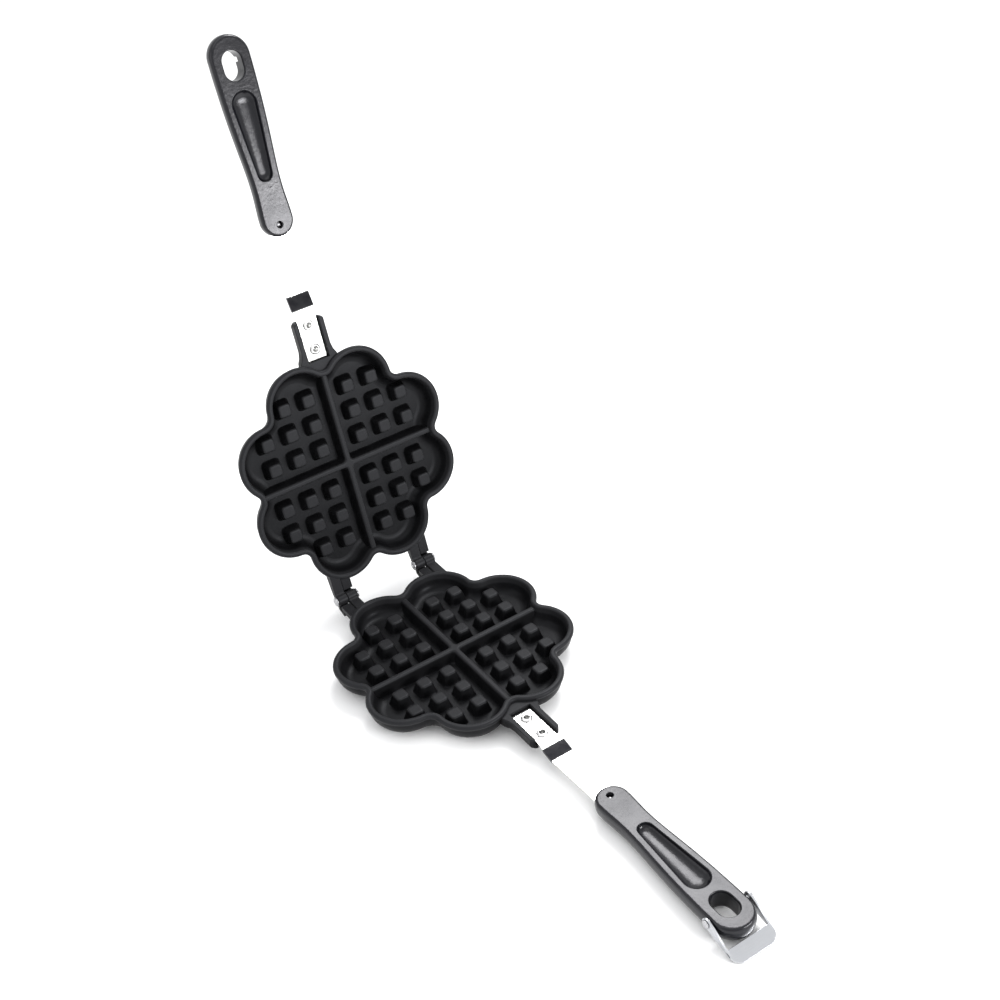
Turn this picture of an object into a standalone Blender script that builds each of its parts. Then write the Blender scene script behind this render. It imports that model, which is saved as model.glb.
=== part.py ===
"""Stovetop flip waffle iron: two cast flower plates, strap arms, handles and a swing latch.

World frame in metres: X along the hinge axis, the lower handle points along -Y, +Z is up.
The origin is the centre of the lower plate's flat underside. Each half is drawn in its own
"half frame": x across, y toward the hinge, z = 0 on the closing plane, the casting below it.
"""
import math

import bmesh
import bpy
from mathutils import Matrix

MM = 0.001

# closing plane, hinge and opening
HALF_DEPTH = 16.0 * MM
HINGE_Y = 77.8 * MM
OPEN_ANGLE = math.radians(106.5)

# flower outline
LOBE_RING = 49.0 * MM
LOBE_RADIUS = 22.5 * MM
NOTCH_FILLET = 5.0 * MM
LOBE_STEPS = 9
NOTCH_STEPS = 3

# casting section: (inset from the outline, height from the closing plane)
SECTION = [
    (13.0, -16.0), (10.4, -15.7), (7.3, -14.2), (4.3, -11.7), (2.2, -8.7), (1.3, -6.0),
    (1.0, -3.6), (0.2, -2.9), (0.0, -1.9), (0.3, -0.9), (1.1, -0.3), (2.7, -0.3),
    (3.5, -0.8), (4.8, -6.2), (6.4, -9.1), (8.6, -10.3), (11.2, -10.6),
]
FLOOR = -10.6 * MM

# waffle blocks and the dividing cross
BLOCK_FIRST = 13.3 * MM
BLOCK_PITCH = 16.0 * MM
BLOCK_TOP = 7.6 * MM
BLOCK_BASE = 11.0 * MM
BLOCK_HEIGHT_Z = -3.6 * MM
DIVIDER_Z = -2.7 * MM
DIVIDER_TOP = 3.2 * MM
DIVIDER_BASE = 6.2 * MM
DIVIDER_REACH = 56.6 * MM
SUNK = 0.6 * MM

# cast socket for the strap arm
SOCKET_FLOOR = -7.3 * MM
SOCKET_PLAN = [
    (0.0, 57.6), (3.0, 58.1), (6.5, 60.3), (9.7, 63.5), (12.5, 64.5), (11.9, 67.6),
    (10.5, 70.2), (9.7, 74.0), (9.7, 90.0), (8.3, 91.5),
]
SOCKET_ROWS = [(1.0, -2.7), (1.0, -6.9), (0.88, -9.3), (0.68, -10.2)]
RECESS_HALF = 6.8 * MM
RECESS_START = 66.7 * MM
RIVETS_AT = (73.3 * MM, 88.0 * MM)
RIVET_HOLE = 2.15 * MM

# hinge lugs
KNUCKLE_RADIUS = 3.4 * MM
KNUCKLE_BORE = 1.7 * MM
HINGE_X = 27.8 * MM
KNUCKLE_WIDTH = 6.25 * MM
KNUCKLE_GAP = 0.15 * MM

# strap arm
STRAP_THICK = 2.0 * MM
STRAP_PATH = [
    (67.2, -5.0, 5.9), (68.4, -5.0, 6.5), (94.0, -5.0, 6.5), (97.4, -5.0, 7.1),
    (98.4, -5.15, 7.1), (106.2, -7.2, 7.1), (107.2, -7.4, 7.1), (112.0, -7.4, 7.0),
    (136.0, -7.4, 6.5), (162.5, -7.4, 6.5), (163.5, -7.4, 5.9),
]

# handle
HANDLE_FACE = -3.0 * MM
HANDLE_EDGE = 2.8 * MM
HANDLE_BOTTOM = -15.0 * MM
HANDLE_FRONT_CENTRE = 151.4 * MM
HANDLE_FRONT_RADIUS = 9.8 * MM
HANDLE_REAR_CENTRE = 243.2 * MM
HANDLE_REAR_RADIUS = 12.1 * MM
HANDLE_WIDTHS = [
    (154.7, 9.75), (160.6, 9.4), (167.4, 9.05), (174.3, 9.05), (182.2, 9.45), (191.0, 10.1),
    (199.8, 10.75), (208.6, 11.3), (217.4, 11.7), (225.3, 11.9), (232.1, 12.05), (237.0, 12.1),
    (240.9, 12.1),
]
HANDLE_TOP_RINGS = [(0.0, 0.0), (0.25, 0.62), (0.8, 0.9), (1.7, 1.0)]
HANDLE_LOW_RINGS = [
    (0.0, 0.12), (0.5, 0.40), (1.4, 0.62), (2.8, 0.81), (4.6, 0.94), (6.6, 1.0),
]
TROUGH_FRONT = 178.2 * MM
TROUGH_REAR = 217.2 * MM
TROUGH_FRONT_RADIUS = 4.5 * MM
TROUGH_REAR_RADIUS = 7.3 * MM
TROUGH_DEPTH = 3.4 * MM
SLOT_CENTRE = 238.4 * MM
SLOT_HALF_LENGTH = 8.2 * MM
SLOT_HALF_WIDTH = 5.8 * MM
POCKET_HALF = 6.8 * MM
POCKET_END = 163.9 * MM
SCREW_AT = 148.6 * MM
SCREW_HOLE = 1.75 * MM
SCREW_SEAT = -12.8 * MM
SCREW_SEAT_RADIUS = 3.8 * MM

# latch
PIVOT_Y = 240.7 * MM
PIVOT_Z = -5.2 * MM
LATCH_HANG = math.radians(24.0)
LATCH_HALF = 13.8 * MM
LATCH_THICK = 1.2 * MM
LATCH_INNER = 15.4 * MM
LATCH_OUTER = 24.1 * MM
LATCH_PIN_HOLE = 1.4 * MM
CATCH_FLOOR = -9.8 * MM


# ---------------------------------------------------------------- scene helpers

def clear_scene():
    """Remove every object, collection and material already in the file."""
    for obj in list(bpy.data.objects):
        bpy.data.objects.remove(obj, do_unlink=True)
    for group in list(bpy.data.collections):
        bpy.data.collections.remove(group)


def make_collection(name):
    """A new collection linked to the scene."""
    group = bpy.data.collections.new(name)
    bpy.context.scene.collection.children.link(group)
    return group


def make_material(name, colour, roughness, metallic):
    """A plain Principled material."""
    material = bpy.data.materials.new(name)
    material.use_nodes = True
    shader = material.node_tree.nodes["Principled BSDF"]
    shader.inputs["Base Color"].default_value = (*colour, 1.0)
    shader.inputs["Roughness"].default_value = roughness
    shader.inputs["Metallic"].default_value = metallic
    material.diffuse_color = (*colour, 1.0)
    return material


def make_axis(name, group, location, tilt=0.0):
    """An empty on a joint's axis, for its pieces to hang from."""
    axis = bpy.data.objects.new(name, None)
    axis.empty_display_size = 0.02
    axis.location = location
    axis.rotation_euler = (tilt, 0.0, 0.0)
    group.objects.link(axis)
    return axis


def link_piece(obj, group, material):
    """Put a piece in the object's collection with its material."""
    group.objects.link(obj)
    obj.data.materials.clear()
    obj.data.materials.append(material)
    return obj


def link_cutter(obj, group):
    """Put a Boolean's tool in the cutters' collection, hidden from renders."""
    group.objects.link(obj)
    obj.display_type = "WIRE"
    obj.hide_render = True
    return obj


def seat(obj, axis, upper, x=0.0, y=0.0, z=0.0):
    """Hang an object from a hinge empty, at a point of its half's own frame."""
    obj.parent = axis
    if upper:
        obj.location = (-x, y - HINGE_Y, -z)
        obj.rotation_euler = (0.0, math.pi, 0.0)
    else:
        obj.location = (x, y - HINGE_Y, z)
    return obj


def boolean(obj, tool, operation):
    """Add one exact Boolean to an object."""
    modifier = obj.modifiers.new(f"{operation.lower()} {tool.name}", "BOOLEAN")
    modifier.operation = operation
    modifier.solver = "EXACT"
    modifier.object = tool
    return modifier


def shade_round(obj):
    """Smooth shading for a round or moulded piece."""
    for polygon in obj.data.polygons:
        polygon.use_smooth = True


# ---------------------------------------------------------------- modelling tools

def object_from_bmesh(name, work):
    """Turn a bmesh into an object."""
    mesh = bpy.data.meshes.new(name)
    work.to_mesh(mesh)
    work.free()
    return bpy.data.objects.new(name, mesh)


def block(name, x0, x1, y0, y1, z0, z1):
    """A cube scaled and moved to fill a box."""
    work = bmesh.new()
    fit = (Matrix.Translation(((x0 + x1) / 2, (y0 + y1) / 2, (z0 + z1) / 2))
           @ Matrix.Diagonal((x1 - x0, y1 - y0, z1 - z0, 1.0)))
    bmesh.ops.create_cube(work, size=1.0, matrix=fit)
    return object_from_bmesh(name, work)


def rod(name, radius, low, high, along, steps, at=(0.0, 0.0, 0.0)):
    """A cylinder along X or Z between two distances."""
    work = bmesh.new()
    turn = Matrix.Rotation(math.radians(90), 4, "Y") if along == "X" else Matrix.Identity(4)
    middle = (low + high) / 2
    shift = (middle, 0.0, 0.0) if along == "X" else (0.0, 0.0, middle)
    place = Matrix.Translation(at) @ Matrix.Translation(shift) @ turn
    bmesh.ops.create_cone(work, cap_ends=True, segments=steps, radius1=radius, radius2=radius,
                          depth=high - low, matrix=place)
    return object_from_bmesh(name, work)


def turned(name, profile, steps, hollow=False):
    """A profile of (radius, height) spun about its own Z axis with a Screw modifier.

    The profile is listed from the bottom up. A solid's profile is closed to the axis at both
    ends, and a hollow one is a loop. The edges run down the outer side, top to bottom.
    """
    points = [(r, 0.0, z) for r, z in reversed(profile)]
    if not hollow:
        points = [(0.0, 0.0, points[0][2])] + points + [(0.0, 0.0, points[-1][2])]
    edges = [(i, i + 1) for i in range(len(points) - 1)]
    if hollow:
        edges.append((len(points) - 1, 0))
    mesh = bpy.data.meshes.new(name)
    mesh.from_pydata(points, edges, [])
    obj = bpy.data.objects.new(name, mesh)
    screw = obj.modifiers.new("turned", "SCREW")
    screw.axis = "Z"
    screw.angle = math.radians(360)
    screw.steps = steps
    screw.render_steps = steps
    screw.use_merge_vertices = True
    screw.merge_threshold = 0.00002
    screw.use_smooth_shade = True
    return obj


def flat_outline(name, outline, thickness, matrix):
    """A flat outline as a filled 2D curve with a thickness, turned into a mesh object."""
    curve = bpy.data.curves.new(name, "CURVE")
    curve.dimensions = "2D"
    curve.fill_mode = "BOTH"
    curve.extrude = thickness / 2
    spline = curve.splines.new("POLY")
    spline.points.add(len(outline) - 1)
    for point, (x, y) in zip(spline.points, outline):
        point.co = (x, y, 0.0, 1.0)
    spline.use_cyclic_u = True
    drawn = bpy.data.objects.new(name, curve)
    drawn.matrix_world = matrix
    bpy.context.scene.collection.objects.link(drawn)
    graph = bpy.context.evaluated_depsgraph_get()
    mesh = bpy.data.meshes.new_from_object(drawn.evaluated_get(graph))
    mesh.transform(matrix)
    bpy.data.objects.remove(drawn, do_unlink=True)
    bpy.data.curves.remove(curve)
    work = bmesh.new()
    work.from_mesh(mesh)
    bmesh.ops.remove_doubles(work, verts=work.verts, dist=0.00001)
    bmesh.ops.recalc_face_normals(work, faces=work.faces)
    bpy.data.meshes.remove(mesh)
    return object_from_bmesh(name, work)


def loft(name, rings):
    """Skin closed rings of equal length whose sections differ along the piece."""
    count = len(rings[0])
    verts = [point for ring in rings for point in ring]
    faces = []
    for level in range(len(rings) - 1):
        a, b = level * count, (level + 1) * count
        for i in range(count):
            j = (i + 1) % count
            faces.append((a + i, a + j, b + j, b + i))
    faces.append(tuple(range(count - 1, -1, -1)))
    start = (len(rings) - 1) * count
    faces.append(tuple(range(start, start + count)))
    mesh = bpy.data.meshes.new(name)
    mesh.from_pydata(verts, [], faces)
    mesh.update()
    return bpy.data.objects.new(name, mesh)


def across_x(middle):
    """Matrix that stands an outline of (y, z) up, square to the X axis, at x = middle."""
    return Matrix(((0.0, 0.0, 1.0, middle), (1.0, 0.0, 0.0, 0.0), (0.0, 1.0, 0.0, 0.0),
                   (0.0, 0.0, 0.0, 1.0)))


def ensure_ccw(outline):
    """Return the outline counter-clockwise."""
    area = 0.0
    for (x0, y0), (x1, y1) in zip(outline, outline[1:] + outline[:1]):
        area += x0 * y1 - x1 * y0
    return outline if area > 0 else outline[::-1]


# ---------------------------------------------------------------- the cast plate

def flower(inset):
    """Counter-clockwise flower outline, moved inward by inset."""
    half = math.radians(22.5)
    reach = LOBE_RADIUS + NOTCH_FILLET
    along = LOBE_RING * math.cos(half)
    fillet_ring = along + math.sqrt(reach ** 2 - (LOBE_RING * math.sin(half)) ** 2)
    fx = fillet_ring * math.cos(half) - LOBE_RING
    fy = fillet_ring * math.sin(half)
    lobe_half = math.atan2(fy, fx)
    notch_half = lobe_half - half
    points = []
    for k in range(8):
        lobe = math.radians(22.5 + 45 * k)
        for i in range(LOBE_STEPS + 1):
            turn = lobe - lobe_half + 2 * lobe_half * i / LOBE_STEPS
            radius = LOBE_RADIUS - inset
            points.append((LOBE_RING * math.cos(lobe) + radius * math.cos(turn),
                           LOBE_RING * math.sin(lobe) + radius * math.sin(turn)))
        notch = lobe + half
        for i in range(1, NOTCH_STEPS):
            turn = notch + math.pi + notch_half - 2 * notch_half * i / NOTCH_STEPS
            radius = NOTCH_FILLET + inset
            points.append((fillet_ring * math.cos(notch) + radius * math.cos(turn),
                           fillet_ring * math.sin(notch) + radius * math.sin(turn)))
    return points


def casting_body(name):
    """Flower pan with a rounded lip and a flat underside."""
    rings = []
    for inset, height in SECTION:
        rings.append([(x, y, height * MM) for x, y in flower(inset * MM)])
    return loft(name, rings)


def block_field(name):
    """Thirty-two waffle blocks, eight to a heart: four-sided cones cut off at the top."""
    work = bmesh.new()
    low, top = FLOOR - SUNK, BLOCK_HEIGHT_Z
    wide = (BLOCK_BASE / 2 + 0.1 * MM) * math.sqrt(2)
    narrow = BLOCK_TOP / 2 * math.sqrt(2)
    quarter = Matrix.Rotation(math.radians(45), 4, "Z")
    for sx in (-1, 1):
        for sy in (-1, 1):
            for i in range(3):
                for j in range(3):
                    if i == 2 and j == 2:
                        continue
                    spot = Matrix.Translation((sx * (BLOCK_FIRST + i * BLOCK_PITCH),
                                               sy * (BLOCK_FIRST + j * BLOCK_PITCH),
                                               (low + top) / 2))
                    bmesh.ops.create_cone(work, cap_ends=True, segments=4, radius1=wide,
                                          radius2=narrow, depth=top - low,
                                          matrix=spot @ quarter)
    return object_from_bmesh(name, work)


def divider(name, across):
    """One bar of the dividing cross: a box pinched along its top."""
    low = FLOOR - SUNK
    half = DIVIDER_BASE / 2
    if across:
        bar = block(name, -DIVIDER_REACH, DIVIDER_REACH, -half, half, low, DIVIDER_Z)
    else:
        bar = block(name, -half, half, -DIVIDER_REACH, DIVIDER_REACH, low, DIVIDER_Z)
    pinch = DIVIDER_TOP / DIVIDER_BASE
    for vert in bar.data.vertices:
        if vert.co.z > low + 1.0 * MM:
            if across:
                vert.co.y *= pinch
            else:
                vert.co.x *= pinch
    return bar


def socket_body(name):
    """Cast arm stub whose rails hold the strap, tapering towards its underside."""
    right = [(x * MM, -y * MM) for x, y in SOCKET_PLAN]
    left = [(-x, y) for x, y in right[1:]]
    outline = ensure_ccw(left[::-1] + right)
    rings = []
    for scale, z in reversed(SOCKET_ROWS):
        rings.append([(x * scale, y, z * MM) for x, y in outline])
    return loft(name, rings)


def arc(radius, first, last, steps):
    """Points on a circle about the hinge axis in (distance, height)."""
    points = []
    for i in range(steps + 1):
        turn = math.radians(first + (last - first) * i / steps)
        points.append((radius * math.cos(turn), radius * math.sin(turn)))
    return points


def lug(name, outline_at, x0, x1):
    """Hinge lug whose root follows the curved wall, so its two ends differ."""
    rings = []
    for x in (x0, x1):
        outline = ensure_ccw([(HINGE_Y - d, z) for d, z in outline_at(x)])
        rings.append([(x, y, z) for y, z in outline])
    return loft(name, rings)


def wall_distance(x):
    """How far the outer wall of the lobe is from the hinge axis at this x."""
    cx = LOBE_RING * math.sin(math.radians(22.5))
    cy = LOBE_RING * math.cos(math.radians(22.5))
    return HINGE_Y - cy - math.sqrt(LOBE_RADIUS ** 2 - (abs(x) - cx) ** 2)


def knuckle_outline(x):
    """Barrel, arm and stop tail of one knuckle in (distance, height)."""
    tail = [(-5.3, 1.0), (-6.69, 5.32), (-9.18, 4.58), (-6.0, -0.9)]
    root = wall_distance(x) + 2.0 * MM
    points = [(root, -0.45 * MM)]
    points += [(4.2 * MM, -0.45 * MM)]
    points += arc(KNUCKLE_RADIUS, 0, 150, 8)
    points += [(d * MM, z * MM) for d, z in tail]
    points += arc(KNUCKLE_RADIUS, 200, 290, 5)
    points += [(6.0 * MM, -4.6 * MM), (root, -6.6 * MM)]
    return points


def shelf_outline(x):
    """Stop shelf under the other half's knuckle."""
    root = wall_distance(x) + 2.0 * MM
    return [(root, -1.1 * MM), (4.3 * MM, -1.1 * MM), (4.3 * MM, -3.2 * MM),
            (5.4 * MM, -4.6 * MM), (root, -5.4 * MM)]


def hinge_tools(half):
    """Knuckles and shelves of one casting: own knuckle on the +x side of each hinge."""
    tools = []
    for side, centre in (("right", HINGE_X), ("left", -HINGE_X)):
        x0 = centre + KNUCKLE_GAP
        tools.append(lug(f"{half} {side} knuckle", knuckle_outline, x0, x0 + KNUCKLE_WIDTH))
        x1 = centre - KNUCKLE_GAP
        tools.append(lug(f"{half} {side} shelf", shelf_outline, x1 - KNUCKLE_WIDTH, x1))
    return tools


def build_plate(half, axis, group, cutters, material):
    """One cast plate with blocks, cross, socket and hinge lugs."""
    upper = half == "upper"
    plate = link_piece(casting_body(f"{half}_plate"), group, material)
    seat(plate, axis, upper)
    adds = [
        block_field(f"{half} blocks"), divider(f"{half} cross bar", True),
        divider(f"{half} long bar", False), socket_body(f"{half} socket"),
    ] + hinge_tools(half)
    cuts = [block(f"{half} recess", -RECESS_HALF, RECESS_HALF, -100 * MM, -RECESS_START,
                  SOCKET_FLOOR, 2 * MM)]
    for index, at in enumerate(RIVETS_AT):
        cuts.append(rod(f"{half} rivet hole {index + 1}", RIVET_HOLE, -13 * MM, 2 * MM, "Z", 20,
                        (0.0, -at, 0.0)))
    cuts.append(rod(f"{half} hinge bore", KNUCKLE_BORE, -40 * MM, 40 * MM, "X", 20,
                    (0.0, HINGE_Y, 0.0)))
    for tools, operation in ((adds, "UNION"), (cuts, "DIFFERENCE")):
        for tool in tools:
            link_cutter(tool, cutters)
            seat(tool, axis, upper)
            boolean(plate, tool, operation)
    return plate


# ---------------------------------------------------------------- strap arm and rivets

def strap_body(name):
    """Flat steel strap with a joggle, whose width changes along its length."""
    rings = []
    for u, top, half in STRAP_PATH:
        y, z = -u * MM, top * MM
        rings.append([
            (-half * MM, y, z - STRAP_THICK), (half * MM, y, z - STRAP_THICK),
            (half * MM, y, z), (-half * MM, y, z),
        ])
    return loft(name, rings)


def build_arm(half, axis, group, cutters, material):
    """Strap arm with its rivet and screw holes."""
    upper = half == "upper"
    arm = link_piece(strap_body(f"{half}_arm"), group, material)
    seat(arm, axis, upper)
    holes = [(f"arm rivet hole {i + 1}", at, RIVET_HOLE) for i, at in enumerate(RIVETS_AT)]
    holes.append(("arm screw hole", SCREW_AT, SCREW_HOLE))
    for label, at, radius in holes:
        tool = rod(f"{half} {label}", radius, -12 * MM, -1 * MM, "Z", 20, (0.0, -at, 0.0))
        link_cutter(tool, cutters)
        seat(tool, axis, upper)
        boolean(arm, tool, "DIFFERENCE")
    return arm


def build_rivet(half, index, at, axis, group, material):
    """Domed rivet through the strap and the socket floor."""
    profile = [
        (1.6, -11.6), (2.6, -11.2), (3.1, -10.7), (3.1, -10.4), (2.0, -10.4),
        (2.0, -4.9), (3.3, -4.9), (3.3, -4.6), (2.8, -4.1), (1.7, -3.75),
    ]
    name = f"{half}_arm_rivet_{'inner' if index == 0 else 'outer'}"
    rivet = turned(name, [(r * MM, z * MM) for r, z in profile], 20)
    link_piece(rivet, group, material)
    return seat(rivet, axis, half == "upper", 0.0, -at, 0.0)


# ---------------------------------------------------------------- handle

def handle_ring(inset):
    """Right-hand side stations (x, u) of the handle outline, from front tip to rear tip."""
    points = []
    front = HANDLE_FRONT_RADIUS - inset
    for i in range(7):
        turn = math.radians(90 * i / 7)
        points.append((front * math.sin(turn), HANDLE_FRONT_CENTRE - front * math.cos(turn)))
    for u, width in HANDLE_WIDTHS:
        points.append((width * MM - inset, u * MM))
    rear = HANDLE_REAR_RADIUS - inset
    for i in range(8):
        turn = math.radians(90 * (7 - i) / 7)
        points.append((rear * math.sin(turn), HANDLE_REAR_CENTRE + rear * math.cos(turn)))
    return points


def closed_ring(inset, z):
    """Both sides of one ring of the handle at height z."""
    side = handle_ring(inset)
    left = [(-x, -u, z) for x, u in side]
    right = [(x, -u, z) for x, u in side[-2:0:-1]]
    return left + right


def handle_body(name):
    """Pillow-shaped handle: flat inner face, rounded edges, deep rounded outer side."""
    widest = HANDLE_FACE - HANDLE_EDGE
    rings = []
    for inset, share in reversed(HANDLE_LOW_RINGS):
        rings.append(closed_ring(inset * MM, widest + (HANDLE_BOTTOM - widest) * share))
    for inset, share in HANDLE_TOP_RINGS:
        rings.append(closed_ring(inset * MM, widest + (HANDLE_FACE - widest) * share))
    return loft(name, rings)


def trough_body(name):
    """Tapered hollow pressed into the inner face."""
    rings = []
    levels = [(3.6, -1.0), (1.9, -0.94), (0.8, -0.7), (0.15, -0.3), (0.0, 0.0), (0.0, 0.5)]
    for inset, level in levels:
        points = []
        front = TROUGH_FRONT_RADIUS - inset * MM
        for i in range(9):
            turn = math.radians(-90 + 180 * i / 8)
            points.append((front * math.sin(turn), -(TROUGH_FRONT - front * math.cos(turn))))
        rear = TROUGH_REAR_RADIUS - inset * MM
        for i in range(9):
            turn = math.radians(90 - 180 * i / 8)
            points.append((rear * math.sin(turn), -(TROUGH_REAR + rear * math.cos(turn))))
        z = HANDLE_FACE + level * TROUGH_DEPTH
        rings.append([(x, y, z) for x, y in ensure_ccw(points)])
    return loft(name, rings)


def stadium(cy, half_length, radius, grow=0.0):
    """Counter-clockwise slot outline along Y."""
    points = []
    r = radius + grow
    reach = half_length - radius
    for i in range(9):
        turn = math.radians(180 * i / 8)
        points.append((r * math.cos(turn), cy + reach + r * math.sin(turn)))
    for i in range(9):
        turn = math.radians(180 + 180 * i / 8)
        points.append((r * math.cos(turn), cy - reach + r * math.sin(turn)))
    return points


def slot_body(name):
    """Through slot with softened edges."""
    rings = []
    for grow, z in ((1.4, -16.5), (1.4, -14.9), (0.0, -13.1), (0.0, -4.4), (0.35, -3.5),
                    (1.0, -2.98), (1.0, -1.8)):
        outline = stadium(-SLOT_CENTRE, SLOT_HALF_LENGTH, SLOT_HALF_WIDTH, grow * MM)
        rings.append([(x, y, z * MM) for x, y in outline])
    return loft(name, rings)


def catch_groove(name):
    """Groove across the outer side of the tail where the latch plate drops in."""
    outline = [(-1.3, 0.0), (1.3, 0.0), (1.5, -3.4), (3.2, -6.5), (-3.2, -6.5), (-1.5, -3.4)]
    drawn = [(-PIVOT_Y - d * MM, CATCH_FLOOR + z * MM) for d, z in outline]
    return flat_outline(name, ensure_ccw(drawn), 30 * MM, across_x(0.0))


def build_handle(half, axis, group, cutters, material):
    """One moulded handle."""
    upper = half == "upper"
    handle = link_piece(handle_body(f"{half}_handle"), group, material)
    seat(handle, axis, upper)
    shade_round(handle)
    at = (0.0, -SCREW_AT, 0.0)
    cuts = [
        block(f"{half} strap pocket", -POCKET_HALF, POCKET_HALF, -POCKET_END, -140 * MM,
              -9.7 * MM, -7.1 * MM),
        rod(f"{half} screw hole", SCREW_HOLE, -14 * MM, 0.5 * MM, "Z", 20, at),
        rod(f"{half} screw seat", SCREW_SEAT_RADIUS, -17 * MM, SCREW_SEAT, "Z", 24, at),
        trough_body(f"{half} trough"), slot_body(f"{half} hanging slot"),
    ]
    if upper:
        cuts.append(catch_groove(f"{half} catch groove"))
    else:
        for side, sign in (("right", 1), ("left", -1)):
            first, last = sorted((sign * 6.9 * MM, sign * 16 * MM))
            cuts.append(rod(f"{half} {side} latch pin bore", 1.35 * MM, first, last, "X", 20,
                            (0.0, -PIVOT_Y, PIVOT_Z)))
    for tool in cuts:
        link_cutter(tool, cutters)
        seat(tool, axis, upper)
        boolean(handle, tool, "DIFFERENCE")
    return handle


def build_screw(half, axis, group, material):
    """Handle screw, entered from the outer side, and its washer."""
    profile = [
        (2.2, -14.7), (3.1, -14.3), (3.1, -13.6), (1.5, -13.6), (1.5, -4.4), (1.1, -4.0),
    ]
    screw = turned(f"{half}_handle_screw", [(r * MM, z * MM) for r, z in profile], 20)
    link_piece(screw, group, material)
    seat(screw, axis, half == "upper", 0.0, -SCREW_AT, 0.0)
    ring = [(1.7, -13.5), (3.5, -13.5), (3.5, -12.9), (1.7, -12.9)]
    washer = turned(f"{half}_handle_washer", [(r * MM, z * MM) for r, z in ring], 24, True)
    link_piece(washer, group, material)
    seat(washer, axis, half == "upper", 0.0, -SCREW_AT, 0.0)
    return screw, washer


# ---------------------------------------------------------------- hinge pins

def on_side(obj, sign, location):
    """Lay a turned piece along X, pointing out on its own side."""
    obj.location = location
    obj.rotation_euler = (0.0, sign * math.pi / 2, 0.0)
    return obj


def build_hinge_pin(side, sign, group, pin_material, washer_material):
    """Short pin through one knuckle pair, head outboard, push-on washer inboard."""
    inner = HINGE_X - KNUCKLE_GAP - KNUCKLE_WIDTH
    outer = HINGE_X + KNUCKLE_GAP + KNUCKLE_WIDTH
    place = (0.0, HINGE_Y, HALF_DEPTH)
    profile = [
        (1.1 * MM, inner - 1.9 * MM), (1.5 * MM, inner - 1.5 * MM), (1.5 * MM, outer + 0.2 * MM),
        (2.9 * MM, outer + 0.2 * MM), (2.9 * MM, outer + 0.8 * MM), (2.2 * MM, outer + 1.4 * MM),
        (1.2 * MM, outer + 1.6 * MM),
    ]
    pin = link_piece(turned(f"{side}_hinge_pin", profile, 24), group, pin_material)
    on_side(pin, sign, place)
    x0, x1 = inner - 1.1 * MM, inner - 0.3 * MM
    chamfer = 0.2 * MM
    ring = [(1.65 * MM, x0), (2.9 * MM - chamfer, x0), (2.9 * MM, x0 + chamfer),
            (2.9 * MM, x1 - chamfer), (2.9 * MM - chamfer, x1), (1.65 * MM, x1)]
    washer = link_piece(turned(f"{side}_hinge_washer", ring, 24, True), group, washer_material)
    on_side(washer, sign, place)
    return pin, washer


# ---------------------------------------------------------------- latch

def latch_outline():
    """Flat plate with clipped corners, in (x, distance from the pivot)."""
    half, inner, outer = LATCH_HALF, LATCH_INNER, LATCH_OUTER
    clip = 4.2 * MM
    side, mid = 0.75 * clip, 0.25 * clip
    return [
        (-half, inner), (half, inner), (half, outer - clip),
        (half - mid, outer - clip + side * 0.6), (half - clip, outer), (-half + clip, outer),
        (-half + mid, outer - clip + side * 0.6), (-half, outer - clip),
    ]


def ear_outline():
    """Ear beside the handle with its pivot end rounded, in (distance, height)."""
    outline = []
    for i in range(13):
        turn = math.radians(90 + 180 * i / 12)
        outline.append((3.0 * MM * math.cos(turn), 3.0 * MM * math.sin(turn)))
    outline += [(9.0 * MM, -2.7 * MM), (15.0 * MM, -1.6 * MM), (19.0 * MM, -0.6 * MM),
                (19.0 * MM, 0.6 * MM), (14.0 * MM, 0.8 * MM), (9.5 * MM, 1.8 * MM),
                (4.5 * MM, 2.9 * MM)]
    return ensure_ccw(outline)


def build_latch(axis, group, cutters, material):
    """Sheet-steel latch: a plate and two ears in one piece, hung from the latch's axis."""
    latch = flat_outline("latch_plate", latch_outline(), LATCH_THICK, Matrix.Identity(4))
    link_piece(latch, group, material)
    tools = []
    for side, sign in (("right", 1), ("left", -1)):
        middle = sign * (LATCH_HALF - LATCH_THICK / 2)
        ear = flat_outline(f"latch {side} ear", ear_outline(), LATCH_THICK, across_x(middle))
        tools.append((ear, "UNION"))
    tools.append((rod("latch pivot bore", LATCH_PIN_HOLE, -20 * MM, 20 * MM, "X", 20),
                  "DIFFERENCE"))
    for obj in [latch] + [tool for tool, _ in tools]:
        obj.parent = axis
        obj.rotation_euler = (0.0, 0.0, math.pi)
    for tool, operation in tools:
        link_cutter(tool, cutters)
        boolean(latch, tool, operation)
    return latch


def build_latch_pin(side, sign, group, material):
    """Stub pin pressed into the side of the lower handle."""
    out = LATCH_HALF
    profile = [
        (0.9 * MM, 7.1 * MM), (1.2 * MM, 7.4 * MM), (1.2 * MM, out + 0.15 * MM),
        (2.3 * MM, out + 0.15 * MM), (2.3 * MM, out + 0.7 * MM), (1.5 * MM, out + 1.1 * MM),
    ]
    pin = link_piece(turned(f"{side}_latch_pin", profile, 20), group, material)
    return on_side(pin, sign, (0.0, -PIVOT_Y, PIVOT_Z + HALF_DEPTH))


# ---------------------------------------------------------------- everything

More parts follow.
